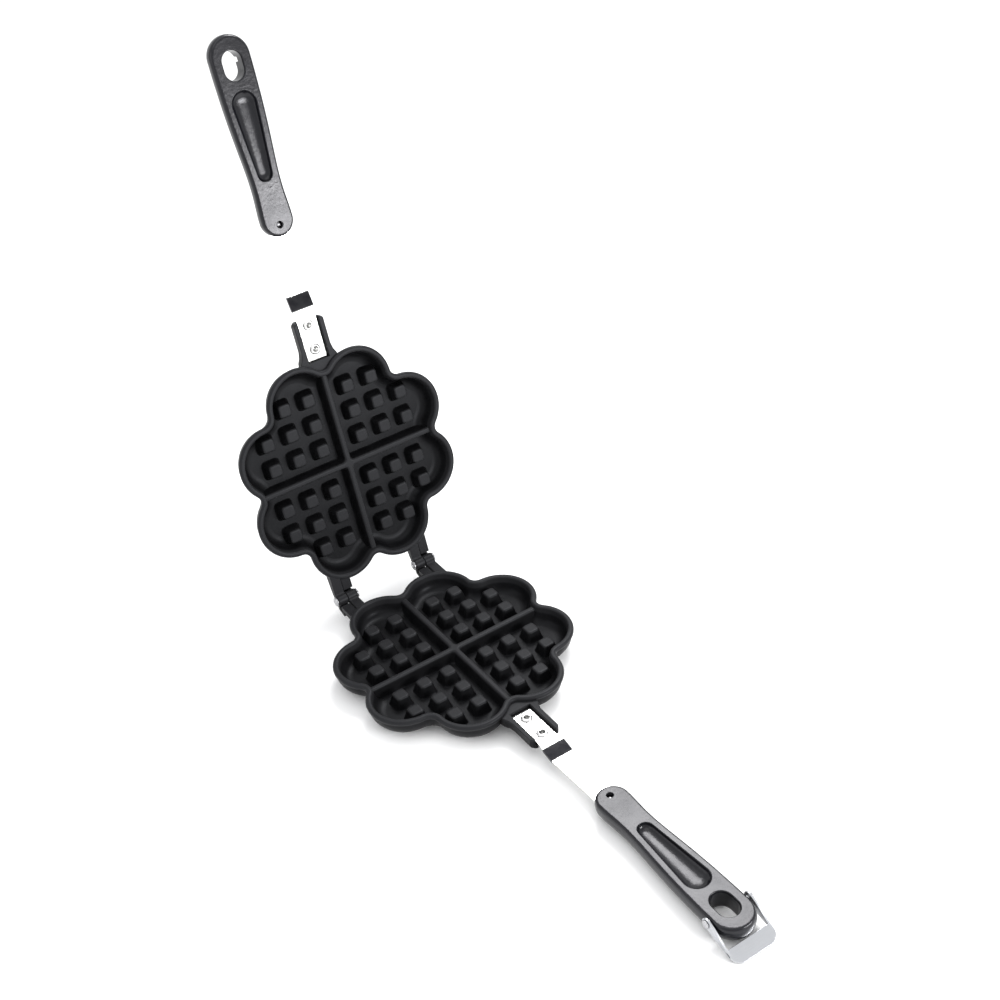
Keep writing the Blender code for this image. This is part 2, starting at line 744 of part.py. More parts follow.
def main():
    """Build the whole iron in its open rest pose."""
    clear_scene()
    group = make_collection("Stovetop waffle iron")
    cutters = make_collection("Cutters")
    coating = make_material("coated cast aluminium", (0.035, 0.037, 0.042), 0.42, 0.3)
    steel = make_material("bright stainless strap", (0.78, 0.78, 0.77), 0.22, 1.0)
    phenolic = make_material("black phenolic", (0.012, 0.012, 0.014), 0.18, 0.0)
    rivet_steel = make_material("rivet steel", (0.66, 0.66, 0.66), 0.3, 1.0)
    screw_steel = make_material("screw steel", (0.45, 0.45, 0.46), 0.35, 1.0)
    pin_steel = make_material("pin steel", (0.55, 0.55, 0.55), 0.35, 1.0)
    latch_steel = make_material("latch steel", (0.72, 0.73, 0.74), 0.28, 1.0)
    hinge = (0.0, HINGE_Y, HALF_DEPTH)
    halves = (("lower", make_axis("lower hinge axis", group, hinge)),
              ("upper", make_axis("upper hinge axis", group, hinge, -OPEN_ANGLE)))
    for half, axis in halves:
        build_plate(half, axis, group, cutters, coating)
        build_arm(half, axis, group, cutters, steel)
        for index, at in enumerate(RIVETS_AT):
            build_rivet(half, index, at, axis, group, rivet_steel)
        build_handle(half, axis, group, cutters, phenolic)
        build_screw(half, axis, group, screw_steel)
    for side, sign in (("right", 1), ("left", -1)):
        build_hinge_pin(side, sign, group, pin_steel, screw_steel)
        build_latch_pin(side, sign, group, pin_steel)
    pivot = make_axis("latch axis", group, (0.0, -PIVOT_Y, PIVOT_Z + HALF_DEPTH), LATCH_HANG)
    build_latch(pivot, group, cutters, latch_steel)


if __name__ == "__main__":
    main()
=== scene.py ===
"""Stovetop flip waffle iron: cast flower plates, strap arms, moulded handles and a swing latch.

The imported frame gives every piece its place. Each half is drawn in its own half frame: x across,
y towards the hinge, z = 0 on the closing plane and the casting below it. Sizes are in millimetres
there, and each finished mesh is carried into the frame in metres.
"""
from __future__ import annotations

import logging
import math
from dataclasses import dataclass, field
from enum import Enum
from typing import Callable, Iterable, Sequence, Union

import bmesh
import bpy
from mathutils import Matrix, Vector


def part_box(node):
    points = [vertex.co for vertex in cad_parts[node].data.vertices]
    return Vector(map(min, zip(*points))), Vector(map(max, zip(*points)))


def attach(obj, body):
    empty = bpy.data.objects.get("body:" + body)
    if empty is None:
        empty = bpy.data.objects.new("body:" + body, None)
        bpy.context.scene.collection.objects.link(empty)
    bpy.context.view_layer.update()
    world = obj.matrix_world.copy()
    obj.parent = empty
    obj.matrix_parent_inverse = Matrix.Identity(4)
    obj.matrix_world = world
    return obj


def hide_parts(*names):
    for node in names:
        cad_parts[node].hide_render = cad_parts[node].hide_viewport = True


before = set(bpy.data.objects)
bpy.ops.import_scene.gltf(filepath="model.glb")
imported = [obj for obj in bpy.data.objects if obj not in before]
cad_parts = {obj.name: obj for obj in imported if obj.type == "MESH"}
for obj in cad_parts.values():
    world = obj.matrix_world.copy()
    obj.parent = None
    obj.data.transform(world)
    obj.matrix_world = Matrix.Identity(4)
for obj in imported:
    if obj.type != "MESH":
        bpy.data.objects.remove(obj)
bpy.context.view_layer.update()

LOG = logging.getLogger("waffle_iron")
MM = 0.001
HALF_SECTOR = math.radians(22.5)
RIVETS_AT = (73.3, 88.0)
SCREW_AT = 148.6
LATCH_PIVOT = (240.7, -5.2)
RIVET_HOLE = 2.15
SCREW_HOLE = 1.75
Point = tuple[float, float, float]
Ring = list[Point]
Value = Union["Wire", float, Sequence[float]]


# ------------------------------------------------------------------ nodes

class Wire:
    """One output of a node, which can be used in arithmetic."""

    def __init__(self, board: Board, socket: bpy.types.NodeSocket) -> None:
        """Keep the board and the socket.

        Args:
            board: The board that the node is on.
            socket: The node's output.
        """
        self.board = board
        self.socket = socket

    @property
    def is_vector(self) -> bool:
        """Whether the output is a vector or a colour."""
        return self.socket.type in {"VECTOR", "RGBA"}

    def _combine(self, operation: str, first: Value, second: Value) -> Wire:
        """Join two values with a Math or a Vector Math node.

        Args:
            operation: The node's operation.
            first: Left-hand value.
            second: Right-hand value.

        Returns:
            The result.
        """
        if not self.is_vector and not isinstance(second, (tuple, list)):
            return self.board.math(operation, first, second)
        if operation == "MULTIPLY" and isinstance(second, (int, float)):
            return self.board.node("ShaderNodeVectorMath", {"operation": "SCALE"},
                                   {0: first, "Scale": float(second)})
        return self.board.vector_math(operation, first, second)

    def __add__(self, other: Value) -> Wire:
        """Sum."""
        return self._combine("ADD", self, other)

    def __radd__(self, other: Value) -> Wire:
        """Reflected sum."""
        return self._combine("ADD", self, other)

    def __sub__(self, other: Value) -> Wire:
        """Difference."""
        return self._combine("SUBTRACT", self, other)

    def __mul__(self, other: Value) -> Wire:
        """Product."""
        return self._combine("MULTIPLY", self, other)


class Board:
    """Adds nodes and links to one node tree."""

    def __init__(self, tree: bpy.types.NodeTree) -> None:
        """Keep the tree.

        Args:
            tree: A shader or geometry node tree.
        """
        self.tree = tree

    def feed(self, socket: bpy.types.NodeSocket, value: Value) -> None:
        """Link a wire to an input, or set its constant.

        Args:
            socket: The input.
            value: A wire or a constant.
        """
        if isinstance(value, Wire):
            self.tree.links.new(value.socket, socket)
        else:
            socket.default_value = value

    def node(self, kind: str, settings: dict[str, object] | None = None,
             inputs: dict[str | int, Value] | None = None, output: str | int = 0) -> Wire:
        """Add a node of any type.

        Args:
            kind: The node's type.
            settings: Its properties.
            inputs: Its input values, by name or number.
            output: The output to give back.

        Returns:
            The chosen output.
        """
        made = self.tree.nodes.new(kind)
        for key, value in (settings or {}).items():
            setattr(made, key, value)
        for key, value in (inputs or {}).items():
            self.feed(made.inputs[key], value)
        if not made.outputs:
            return Wire(self, made.inputs[0])
        return Wire(self, made.outputs[output])

    def math(self, operation: str, first: Value, second: Value = 0.0) -> Wire:
        """Add a Math node."""
        return self.node("ShaderNodeMath", {"operation": operation}, {0: first, 1: second})

    def vector_math(self, operation: str, first: Value, second: Value) -> Wire:
        """Add a Vector Math node."""
        return self.node("ShaderNodeVectorMath", {"operation": operation}, {0: first, 1: second})

    def mix(self, factor: Value, first: Value, second: Value) -> Wire:
        """Blend two colours.

        Args:
            factor: 0 gives the first colour and 1 the second.
            first: A colour.
            second: A colour.

        Returns:
            The blended colour.
        """
        return self.node("ShaderNodeMix", {"data_type": "RGBA", "clamp_factor": True},
                         {0: factor, 6: first, 7: second}, 2)

    def span(self, value: Value, low: float, high: float, to_low: float = 0.0,
             to_high: float = 1.0) -> Wire:
        """Ease a value from one range into another.

        Args:
            value: The value.
            low: Where the range starts.
            high: Where the range ends.
            to_low: Result at the start.
            to_high: Result at the end.

        Returns:
            The eased value.
        """
        return self.node("ShaderNodeMapRange", {"interpolation_type": "SMOOTHSTEP"},
                         {0: value, 1: low, 2: high, 3: to_low, 4: to_high})

    def noise(self, place: Value, scale: float, detail: float = 2.0,
              roughness: float = 0.5) -> Wire:
        """Add a Noise texture.

        Args:
            place: Where it is read.
            scale: Cells per unit of place.
            detail: Octaves.
            roughness: How strong the finer octaves are.

        Returns:
            Its value.
        """
        return self.node("ShaderNodeTexNoise", None, {
            "Vector": place, "Scale": scale, "Detail": detail, "Roughness": roughness})

    def own_place(self) -> Wire:
        """The piece's own coordinates in millimetres, from its half_frame attribute."""
        stored = self.node("ShaderNodeAttribute", {"attribute_name": "half_frame"},
                           output="Vector")
        return stored * (1.0 / MM)

    def split(self, vector: Value) -> tuple[Wire, Wire, Wire]:
        """The three parts of a vector."""
        first = self.node("ShaderNodeSeparateXYZ", None, {0: vector})
        outputs = first.socket.node.outputs
        return first, Wire(self, outputs[1]), Wire(self, outputs[2])

    def bump(self, height: Value, strength: float, distance: float,
             normal: Value | None = None) -> Wire:
        """Add a Bump node.

        Args:
            height: The relief.
            strength: How far it counts.
            distance: Its depth in metres.
            normal: A normal to start from.

        Returns:
            The bumped normal.
        """
        inputs: dict[str | int, Value] = {
            "Height": height, "Strength": strength, "Distance": distance}
        if normal is not None:
            inputs["Normal"] = normal
        return self.node("ShaderNodeBump", None, inputs)


# ------------------------------------------------------------------ finishes

@dataclass(frozen=True)
class Finish:
    """What every finish shares."""

    name: str

    def make(self) -> bpy.types.Material:
        """Build the material.

        Returns:
            The finished material.
        """
        material = bpy.data.materials.new(self.name)
        material.use_nodes = True
        shader = material.node_tree.nodes["Principled BSDF"]
        self.paint(Board(material.node_tree), shader)
        return material

    def paint(self, board: Board, shader: bpy.types.Node) -> None:
        """Set the shader up.

        Args:
            board: The material's board.
            shader: Its Principled node.
        """
        raise NotImplementedError


@dataclass(frozen=True)
class NonStickCoating(Finish):
    """Sprayed coating on cast aluminium: dark, slightly blue, paler in random patches, with
    painted light on the block tops and rim.
    """

    deep: Point = (0.0036, 0.0036, 0.0040)
    pale_and_top_light: Point = (0.0165, 0.0166, 0.0180)
    roughness: float = 0.40
    ior: float = 1.21
    sheen_tint: Point = (0.92, 0.94, 1.0)
    ring_wave: float = 7.2

    def paint(self, board: Board, shader: bpy.types.Node) -> None:
        """Set the shader up.

        Args:
            board: The material's board.
            shader: Its Principled node.
        """
        place = board.own_place()
        x, y, z = board.split(place)
        cloud = board.noise(place, 0.11, 4.0, 0.62)
        speck = board.noise(place, 2.4, 3.0, 0.7)
        # Painted light: the colour is made paler with height, strongly on the block tops and
        # slightly on the rim, so the tops read as lit and the floors as shaded.
        painted_top_light = board.span(z, -4.6, -3.3) * 0.62 + board.span(z, -2.9, -0.5) * 0.12
        tone_and_top_light = painted_top_light + (cloud - 0.5) * 0.36 + (speck - 0.5) * 0.24 + 0.06
        colour = board.mix(tone_and_top_light, (*self.deep, 1.0), (*self.pale_and_top_light, 1.0))
        board.feed(shader.inputs["Base Color"], colour)
        rough = self.roughness + (cloud - 0.5) * 0.22 + (speck - 0.5) * 0.10
        board.feed(shader.inputs["Roughness"], rough)
        radius = board.math("SQRT", x * x + y * y)
        ring = board.math("SINE", radius * self.ring_wave)
        turned = ring * board.span(z, -15.7, -15.95) * 0.5
        relief = board.noise(place, 1.35, 5.0, 0.6) + turned
        skin = board.bump(relief, 0.32, 0.00010)
        board.feed(shader.inputs["Normal"], board.bump(cloud, 0.2, 0.0004, skin))
        shader.inputs["IOR"].default_value = self.ior
        shader.inputs["Specular Tint"].default_value = (*self.sheen_tint, 1.0)


@dataclass(frozen=True)
class BrushedSteel(Finish):
    """Sheet steel with fine lines drawn along it, and a painted dark reflection across the joggle.
    """

    colour: Point = (0.72, 0.72, 0.705)
    shade: Point = (0.48, 0.485, 0.49)
    roughness: float = 0.15
    lines: Point = (9.0, 0.10, 3.0)
    line_depth: float = 0.00003
    pressed: tuple[float, float] | None = None
    dark_reflection_colour: Point = (0.016, 0.016, 0.020)
    dark_reflection_fade: float = 0.35

    def paint(self, board: Board, shader: bpy.types.Node) -> None:
        """Set the shader up.

        Args:
            board: The material's board.
            shader: Its Principled node.
        """
        place = board.own_place()
        drawn = place * self.lines
        streak = board.noise(drawn, 1.0, 4.0, 0.65)
        haze = board.noise(place, 0.16, 3.0, 0.55)
        spot = board.span(board.noise(place, 0.9, 2.0), 0.66, 0.78)
        amount = (streak - 0.5) * 0.7 + (haze - 0.5) * 0.5 + spot * 0.25 + 0.22
        colour = board.mix(amount, (*self.colour, 1.0), (*self.shade, 1.0))
        # Painted reflection: the joggle's span is painted near-black, standing in for the dark
        # surroundings that the bent steel mirrors.
        if self.pressed is not None:
            _, along, _ = board.split(place)
            near, far = self.pressed
            fade = self.dark_reflection_fade
            painted_reflection_mask = (board.span(along, fade - near, -fade - near)
                    * board.span(along, -fade - far, fade - far))
            colour = board.mix(painted_reflection_mask * ((haze - 0.5) * 0.1 + 0.97), colour,
                               (*self.dark_reflection_colour, 1.0))
        board.feed(shader.inputs["Base Color"], colour)
        board.feed(shader.inputs["Roughness"],
                   self.roughness + (streak - 0.5) * 0.10 + (haze - 0.5) * 0.08)
        board.feed(shader.inputs["Normal"], board.bump(streak, 0.35, self.line_depth))
        shader.inputs["Metallic"].default_value = 1.0


@dataclass(frozen=True)
class Phenolic(Finish):
    """Black compression-moulded handle material with a soft gloss and a fine peel."""

    dark: Point = (0.0030, 0.0031, 0.0042)
    light: Point = (0.0095, 0.0098, 0.0125)
    roughness: float = 0.23
    ior: float = 1.39
    sheen_tint: Point = (0.97, 0.965, 1.0)

    def paint(self, board: Board, shader: bpy.types.Node) -> None:
        """Set the shader up.

        Args:
            board: The material's board.
            shader: Its Principled node.
        """
        place = board.own_place()
        cloud = board.noise(place, 0.085, 3.0, 0.6)
        peel = board.noise(place, 0.55, 3.0, 0.55)
        fine = board.noise(place, 3.2, 2.0, 0.6)
        scuff = board.span(board.noise(place * (0.35, 2.6, 1.0), 1.0, 3.0, 0.7), 0.60, 0.74)
        tone = (cloud - 0.5) * 1.1 + (fine - 0.5) * 0.5 + 0.4
        board.feed(shader.inputs["Base Color"],
                   board.mix(tone, (*self.dark, 1.0), (*self.light, 1.0)))
        board.feed(shader.inputs["Roughness"],
                   self.roughness + (cloud - 0.5) * 0.16 + (fine - 0.5) * 0.08 + scuff * 0.07)
        skin = board.bump(fine, 0.14, 0.00006)
        board.feed(shader.inputs["Normal"], board.bump(peel, 0.3, 0.00024, skin))
        shader.inputs["IOR"].default_value = self.ior
        shader.inputs["Specular Tint"].default_value = (*self.sheen_tint, 1.0)


@dataclass(frozen=True)
class TurnedSteel(Finish):
    """Small turned or headed steel pieces with a light handling haze."""

    colour: Point = (0.62, 0.62, 0.62)
    shade: Point = (0.30, 0.30, 0.31)
    roughness: float = 0.3

    def paint(self, board: Board, shader: bpy.types.Node) -> None:
        """Set the shader up.

        Args:
            board: The material's board.
            shader: Its Principled node.
        """
        place = board.own_place()
        haze = board.noise(place, 0.8, 4.0, 0.6)
        pit = board.noise(place, 4.5, 3.0, 0.65)
        amount = (haze - 0.5) * 0.9 + (pit - 0.5) * 0.5 + 0.35
        board.feed(shader.inputs["Base Color"],
                   board.mix(amount, (*self.colour, 1.0), (*self.shade, 1.0)))
        board.feed(shader.inputs["Roughness"],
                   self.roughness + (haze - 0.5) * 0.2 + (pit - 0.5) * 0.1)
        board.feed(shader.inputs["Normal"], board.bump(pit, 0.25, 0.00004))
        shader.inputs["Metallic"].default_value = 1.0


@dataclass(frozen=True)
class StudioPaper(Finish):
    """Pale seamless floor."""

    colour: Point = (0.93, 0.93, 0.93)

    def paint(self, board: Board, shader: bpy.types.Node) -> None:
        """Set the shader up.

        Args:
            board: The material's board.
            shader: Its Principled node.
        """
        place = board.node("ShaderNodeTexCoord", output="Object")
        mottle = board.noise(place, 6.0, 3.0)
        board.feed(shader.inputs["Base Color"],
                   board.mix(mottle, (*self.colour, 1.0), (0.95, 0.95, 0.95, 1.0)))
        shader.inputs["Roughness"].default_value = 0.9
        shader.inputs["Specular IOR Level"].default_value = 0.1


class Slot(Enum):
    """The record's material slots, each with its finish."""

    PLATES = ("cast_plates", NonStickCoating("non-stick coating"))
    # The strap's finish carries a painted dark reflection over the joggle, from 98.2 to 106.6 mm
    # along the strap.
    STRAP = ("strap_steel", BrushedSteel("brushed strap steel", pressed=(98.2, 106.6)))
    HANDLE = ("handle_phenolic", Phenolic("black phenolic"))
    RIVET = ("rivet_steel", TurnedSteel("rivet steel", (0.74, 0.74, 0.73), (0.5, 0.5, 0.5), 0.26))
    SCREW = ("screw_steel", TurnedSteel("screw steel", (0.34, 0.34, 0.35), (0.12, 0.12, 0.13)))
    PIN = ("pin_steel", TurnedSteel("pin steel", (0.50, 0.50, 0.51), (0.25, 0.25, 0.26), 0.34))
    LATCH = ("latch_steel", BrushedSteel("latch steel", (0.55, 0.56, 0.58), (0.36, 0.37, 0.39),
                                         0.30, (0.12, 8.0, 3.0)))

    @property
    def label(self) -> str:
        """The slot's name in the record."""
        return self.value[0]


# ------------------------------------------------------------------ meshes

class Shape:
    """Closed or open skins put together in millimetres."""

    def __init__(self) -> None:
        """Start empty."""
        self.points: list[Point] = []
        self.faces: list[tuple[int, ...]] = []

    def loft(self, rings: Sequence[Ring], cap_first: bool = True, wrap: bool = False) -> Shape:
        """Skin rings of equal length.

        Args:
            rings: The rings in order.
            cap_first: Close the first ring with a face.
            wrap: Join the last ring to the first.

        Returns:
            This shape.
        """
        base = len(self.points)
        count = len(rings[0])
        levels = len(rings)
        for ring in rings:
            self.points += ring
        for level in range(levels if wrap else levels - 1):
            here = base + level * count
            there = base + ((level + 1) % levels) * count
            for i in range(count):
                j = (i + 1) % count
                self.faces.append((here + i, here + j, there + j, there + i))
        if cap_first and not wrap:
            self.faces.append(tuple(range(base + count - 1, base - 1, -1)))
        if not wrap:
            top = base + (levels - 1) * count
            self.faces.append(tuple(range(top, top + count)))
        return self

    def mesh(self, name: str) -> bpy.types.Mesh:
        """Make the mesh, in metres, with its faces outward.

        Args:
            name: The mesh's name.

        Returns:
            The mesh.
        """
        mesh = bpy.data.meshes.new(name)
        mesh.from_pydata([(x * MM, y * MM, z * MM) for x, y, z in self.points], [], self.faces)
        work = bmesh.new()
        work.from_mesh(mesh)
        bmesh.ops.recalc_face_normals(work, faces=work.faces)
        for face in work.faces:
            face.smooth = True
        work.to_mesh(mesh)
        work.free()
        return mesh


def rough_object(name: str, mesh: bpy.types.Mesh) -> bpy.types.Object:
    """A working object that is removed once its shape is settled."""
    rough = bpy.data.objects.new(name, mesh)
    bpy.context.scene.collection.objects.link(rough)
    return rough


def settle(rough: bpy.types.Object, tools: Iterable[bpy.types.Object] = ()) -> bpy.types.Mesh:
    """Turn a working object into a plain mesh and clear it away.

    Args:
        rough: The working object with its modifiers.
        tools: Other working objects that its modifiers use.

    Returns:
        The plain mesh.
    """
    graph = bpy.context.evaluated_depsgraph_get()
    mesh = bpy.data.meshes.new_from_object(rough.evaluated_get(graph), depsgraph=graph)
    for spent in [rough, *tools]:
        bpy.data.objects.remove(spent, do_unlink=True)
    return mesh


def carve(name: str, body: Shape, cuts: Sequence[Shape], edge: float = 0.0,
          segments: int = 3) -> bpy.types.Mesh:
    """Cut shapes out of a body and round the edges that are left.

    Args:
        name: The mesh's name.
        body: The shape to cut.
        cuts: The shapes taken away.
        edge: Radius of the rounded edges in millimetres.
        segments: Steps in the rounding.

    Returns:
        The carved mesh.
    """
    rough = rough_object(name, body.mesh(name))
    tools = []
    for index, cut in enumerate(cuts):
        tool = rough_object(f"{name} cut {index}", cut.mesh(f"{name} cut {index}"))
        modifier = rough.modifiers.new(f"cut {index}", "BOOLEAN")
        modifier.operation = "DIFFERENCE"
        modifier.solver = "EXACT"
        modifier.object = tool
        tools.append(tool)
    if edge > 0.0:
        bevel = rough.modifiers.new("soft edges", "BEVEL")
        bevel.width = edge * MM
        bevel.segments = segments
        bevel.limit_method = "ANGLE"
        bevel.angle_limit = math.radians(38.0)
    return settle(rough, tools)


def gather(name: str, meshes: Sequence[bpy.types.Mesh]) -> bpy.types.Mesh:
    """Put several meshes into one.

    Args:
        name: The new mesh's name.
        meshes: The meshes, which are removed.

    Returns:
        The joined mesh.
    """
    work = bmesh.new()
    for mesh in meshes:
        work.from_mesh(mesh)
    joined = bpy.data.meshes.new(name)
    for face in work.faces:
        face.material_index = 0
    work.to_mesh(joined)
    work.free()
    for mesh in meshes:
        bpy.data.meshes.remove(mesh)
    return joined


def ccw(outline: list[tuple[float, float]]) -> list[tuple[float, float]]:
    """The outline, counter-clockwise."""
    area = sum(a[0] * b[1] - b[0] * a[1] for a, b in zip(outline, outline[1:] + outline[:1]))
    return outline if area > 0 else outline[::-1]


def ease(points: Sequence[Sequence[float]], steps: int) -> list[tuple[float, ...]]:
    """A smooth open curve through points.

    Args:
        points: The points, of any number of parts.
        steps: Pieces in each span.

    Returns:
        The finer points.
    """
    fine: list[tuple[float, ...]] = []
    last = len(points) - 1
    for i in range(last):
        p0, p1, p2, p3 = (points[max(i - 1, 0)], points[i], points[i + 1],
                          points[min(i + 2, last)])
        for step in range(steps):
            t = step / steps
            fine.append(tuple(
                0.5 * (2 * b + (c - a) * t + (2 * a - 5 * b + 4 * c - d) * t * t
                       + (3 * b - a - 3 * c + d) * t ** 3)
                for a, b, c, d in zip(p0, p1, p2, p3)))
    fine.append(tuple(points[last]))
    return fine


def round_corners(outline: Sequence[tuple[float, float]], radius: float,
                  steps: int = 5) -> list[tuple[float, float]]:
    """Round every corner of a closed outline.

    Args:
        outline: Its corners in order.
        radius: The corner radius.
        steps: Pieces in each corner.

    Returns:
        The rounded outline.
    """
    rounded: list[tuple[float, float]] = []
    count = len(outline)
    for i in range(count):
        corner = Vector(outline[i])
        before = Vector(outline[i - 1]) - corner
        after = Vector(outline[(i + 1) % count]) - corner
        reach = min(radius, before.length * 0.45, after.length * 0.45)
        start = corner + before.normalized() * reach
        stop = corner + after.normalized() * reach
        for step in range(steps + 1):
            t = step / steps
            bend = start * (1 - t) ** 2 + corner * (2 * t * (1 - t)) + stop * t * t
            rounded.append((bend.x, bend.y))
    return rounded


def turned(profile: Sequence[tuple[float, float]], along: str, centre: tuple[float, float],
           steps: int = 40, hollow: bool = False) -> Shape:
    """Turn a (radius, distance) profile about an axis.

    Args:
        profile: Radius and distance along the axis, in order.
        along: "x" or "z", the direction of the axis.
        centre: Where the axis crosses the other two directions.
        steps: Points in each turn.
        hollow: Join the last ring to the first, as in a washer.

    Returns:
        The turned shape.
    """
    rings: list[Ring] = []
    for radius, at in profile:
        ring: Ring = []
        for i in range(steps):
            angle = 2 * math.pi * i / steps
            a = centre[0] + radius * math.cos(angle)
            b = centre[1] + radius * math.sin(angle)
            ring.append((at, a, b) if along == "x" else (a, b, at))
        rings.append(ring)
    return Shape().loft(rings, wrap=hollow)


def slab(outline: Sequence[tuple[float, float]], low: float, high: float,
         point: Callable[[float, float, float], Point]) -> Shape:
    """Give an outline a thickness.

    Args:
        outline: The flat outline.
        low: Where the thickness starts.
        high: Where it ends.
        point: Turns (a, b, level) into a point.

    Returns:
        The solid.
    """
    return Shape().loft([[point(a, b, level) for a, b in outline] for level in (low, high)])


# ------------------------------------------------------------------ geometry trees

class Tree:
    """A geometry node tree with named inputs."""

    def __init__(self, name: str, sizes: Sequence[str]) -> None:
        """Make the tree and its inputs.

        Args:
            name: The tree's name.
            sizes: Names of its number inputs.
        """
        self.group = bpy.data.node_groups.new(name, "GeometryNodeTree")
        face = self.group.interface
        face.new_socket(name="Geometry", in_out="INPUT", socket_type="NodeSocketGeometry")
        for size in sizes:
            face.new_socket(name=size, in_out="INPUT", socket_type="NodeSocketFloat")
        face.new_socket(name="Finish", in_out="INPUT", socket_type="NodeSocketMaterial")
        face.new_socket(name="Geometry", in_out="OUTPUT", socket_type="NodeSocketGeometry")
        self.board = Board(self.group)
        self.start = self.group.nodes.new("NodeGroupInput")
        self.end = self.group.nodes.new("NodeGroupOutput")

    def given(self, name: str) -> Wire:
        """One of the tree's inputs."""
        return Wire(self.board, self.start.outputs[name])

    def close(self, geometry: Wire) -> None:
        """Realize the instances, set the material and link the output.

        Args:
            geometry: What the tree has made.
        """
        whole = self.board.node("GeometryNodeRealizeInstances", None, {0: geometry})
        dressed = self.board.node("GeometryNodeSetMaterial", None,
                                  {"Geometry": whole, "Material": self.given("Finish")})
        self.board.feed(self.end.inputs[0], dressed)

    def run(self, name: str, mesh: bpy.types.Mesh, finish: bpy.types.Material,
            **sizes: float) -> bpy.types.Mesh:
        """Run the tree on a mesh.

        Args:
            name: The working object's name.
            mesh: The mesh that it starts from.
            finish: The material it sets.
            **sizes: The number inputs, with _ for a space.

        Returns:
            A plain mesh.
        """
        rough = rough_object(name, mesh)
        modifier = rough.modifiers.new(self.group.name, "NODES")
        modifier.node_group = self.group
        wanted: dict[str, object] = {key.replace("_", " "): value for key, value in sizes.items()}
        wanted["finish"] = finish
        for item in self.group.interface.items_tree:
            if item.in_out == "INPUT" and item.name.lower() in wanted:
                modifier[item.identifier] = wanted[item.name.lower()]
        return settle(rough)


def flower_tree() -> Tree:
    """Tree that bends a plain band into the scalloped flower of the casting.

    Each point carries its turn about the centre, its inset from the outline and its height.
    Inside a lobe the outline is the lobe's own arc, and between lobes it is the notch's fillet.

    Returns:
        The tree.
    """
    tree = Tree("flower casting", ("Lobe Ring", "Lobe Radius", "Notch Fillet", "Half Sector"))
    board = tree.board
    ring, lobe, fillet, half = (tree.given(name) for name in
                                ("Lobe Ring", "Lobe Radius", "Notch Fillet", "Half Sector"))
    turn, inset, height = (
        board.node("GeometryNodeInputNamedAttribute", {"data_type": "FLOAT"}, {"Name": name})
        for name in ("turn", "inset", "height"))

    def sine(value: Wire) -> Wire:
        """Sine."""
        return board.math("SINE", value)

    def cosine(value: Wire) -> Wire:
        """Cosine."""
        return board.math("COSINE", value)

    def leg(long: Wire, short: Wire) -> Wire:
        """Other side of a right-angled triangle."""
        return board.math("SQRT", board.math("MAXIMUM", long * long - short * short, 0.0))

    notch = ring * cosine(half) + leg(lobe + fillet, ring * sine(half))
    aim = board.math("ARCTAN2", notch * sine(half), notch * cosine(half) - ring)
    off = board.math("PINGPONG", turn - half, half)
    lobe_now, fillet_now = lobe - inset, fillet + inset
    meet = board.math("ARCTAN2", lobe_now * sine(aim), ring + lobe_now * cosine(aim))
    on_lobe = ring * cosine(off) + leg(lobe_now, ring * sine(off))
    back = half - off
    in_notch = notch * cosine(back) - leg(fillet_now, notch * sine(back))
    past = board.math("GREATER_THAN", off, meet)
    reach = on_lobe + (in_notch - on_lobe) * past
    place = board.node("ShaderNodeCombineXYZ", None,
                       {0: reach * cosine(turn), 1: reach * sine(turn), 2: height})
    tree.close(board.node("GeometryNodeSetPosition", None,
                          {"Geometry": tree.given("Geometry"), "Position": place}))
    return tree


def block_tree() -> Tree:
    """Tree that sets one waffle block out in four hearts, without the four outer corners.

    Returns:
        The tree.
    """
    tree = Tree("waffle blocks", ("Pitch", "First", "Corner Limit"))
    board = tree.board
    pitch, first, limit = (tree.given(name) for name in ("Pitch", "First", "Corner Limit"))
    span = pitch * 5.0
    grid = board.node("GeometryNodeMeshGrid", None,
                      {"Size X": span, "Size Y": span, "Vertices X": 6, "Vertices Y": 6})
    spot = board.node("GeometryNodeInputPosition")
    x, y, _ = board.split(spot)
    step = first - pitch * 0.5
    shift = board.node("ShaderNodeCombineXYZ", None, {
        0: board.math("SIGN", x) * step, 1: board.math("SIGN", y) * step})
    spread = board.node("GeometryNodeSetPosition", None, {"Geometry": grid, "Offset": shift})
    far_x = board.math("GREATER_THAN", board.math("ABSOLUTE", x), limit)
    far_y = board.math("GREATER_THAN", board.math("ABSOLUTE", y), limit)
    kept = board.node("GeometryNodeDeleteGeometry", {"domain": "POINT"},
                      {"Geometry": spread, "Selection": far_x * far_y})
    tree.close(board.node("GeometryNodeInstanceOnPoints", None,
                          {"Points": kept, "Instance": tree.given("Geometry")}))
    return tree


def row_tree() -> Tree:
    """Tree that repeats a piece in a row along -Y.

    Returns:
        The tree.
    """
    tree = Tree("rivet row", ("Spacing",))
    board = tree.board
    offset = board.node("ShaderNodeCombineXYZ", None, {1: tree.given("Spacing") * -1.0})
    line = board.node("GeometryNodeMeshLine", None, {"Count": 2, "Offset": offset})
    tree.close(board.node("GeometryNodeInstanceOnPoints", None,
                          {"Points": line, "Instance": tree.given("Geometry")}))
    return tree


# ------------------------------------------------------------------ the workshop

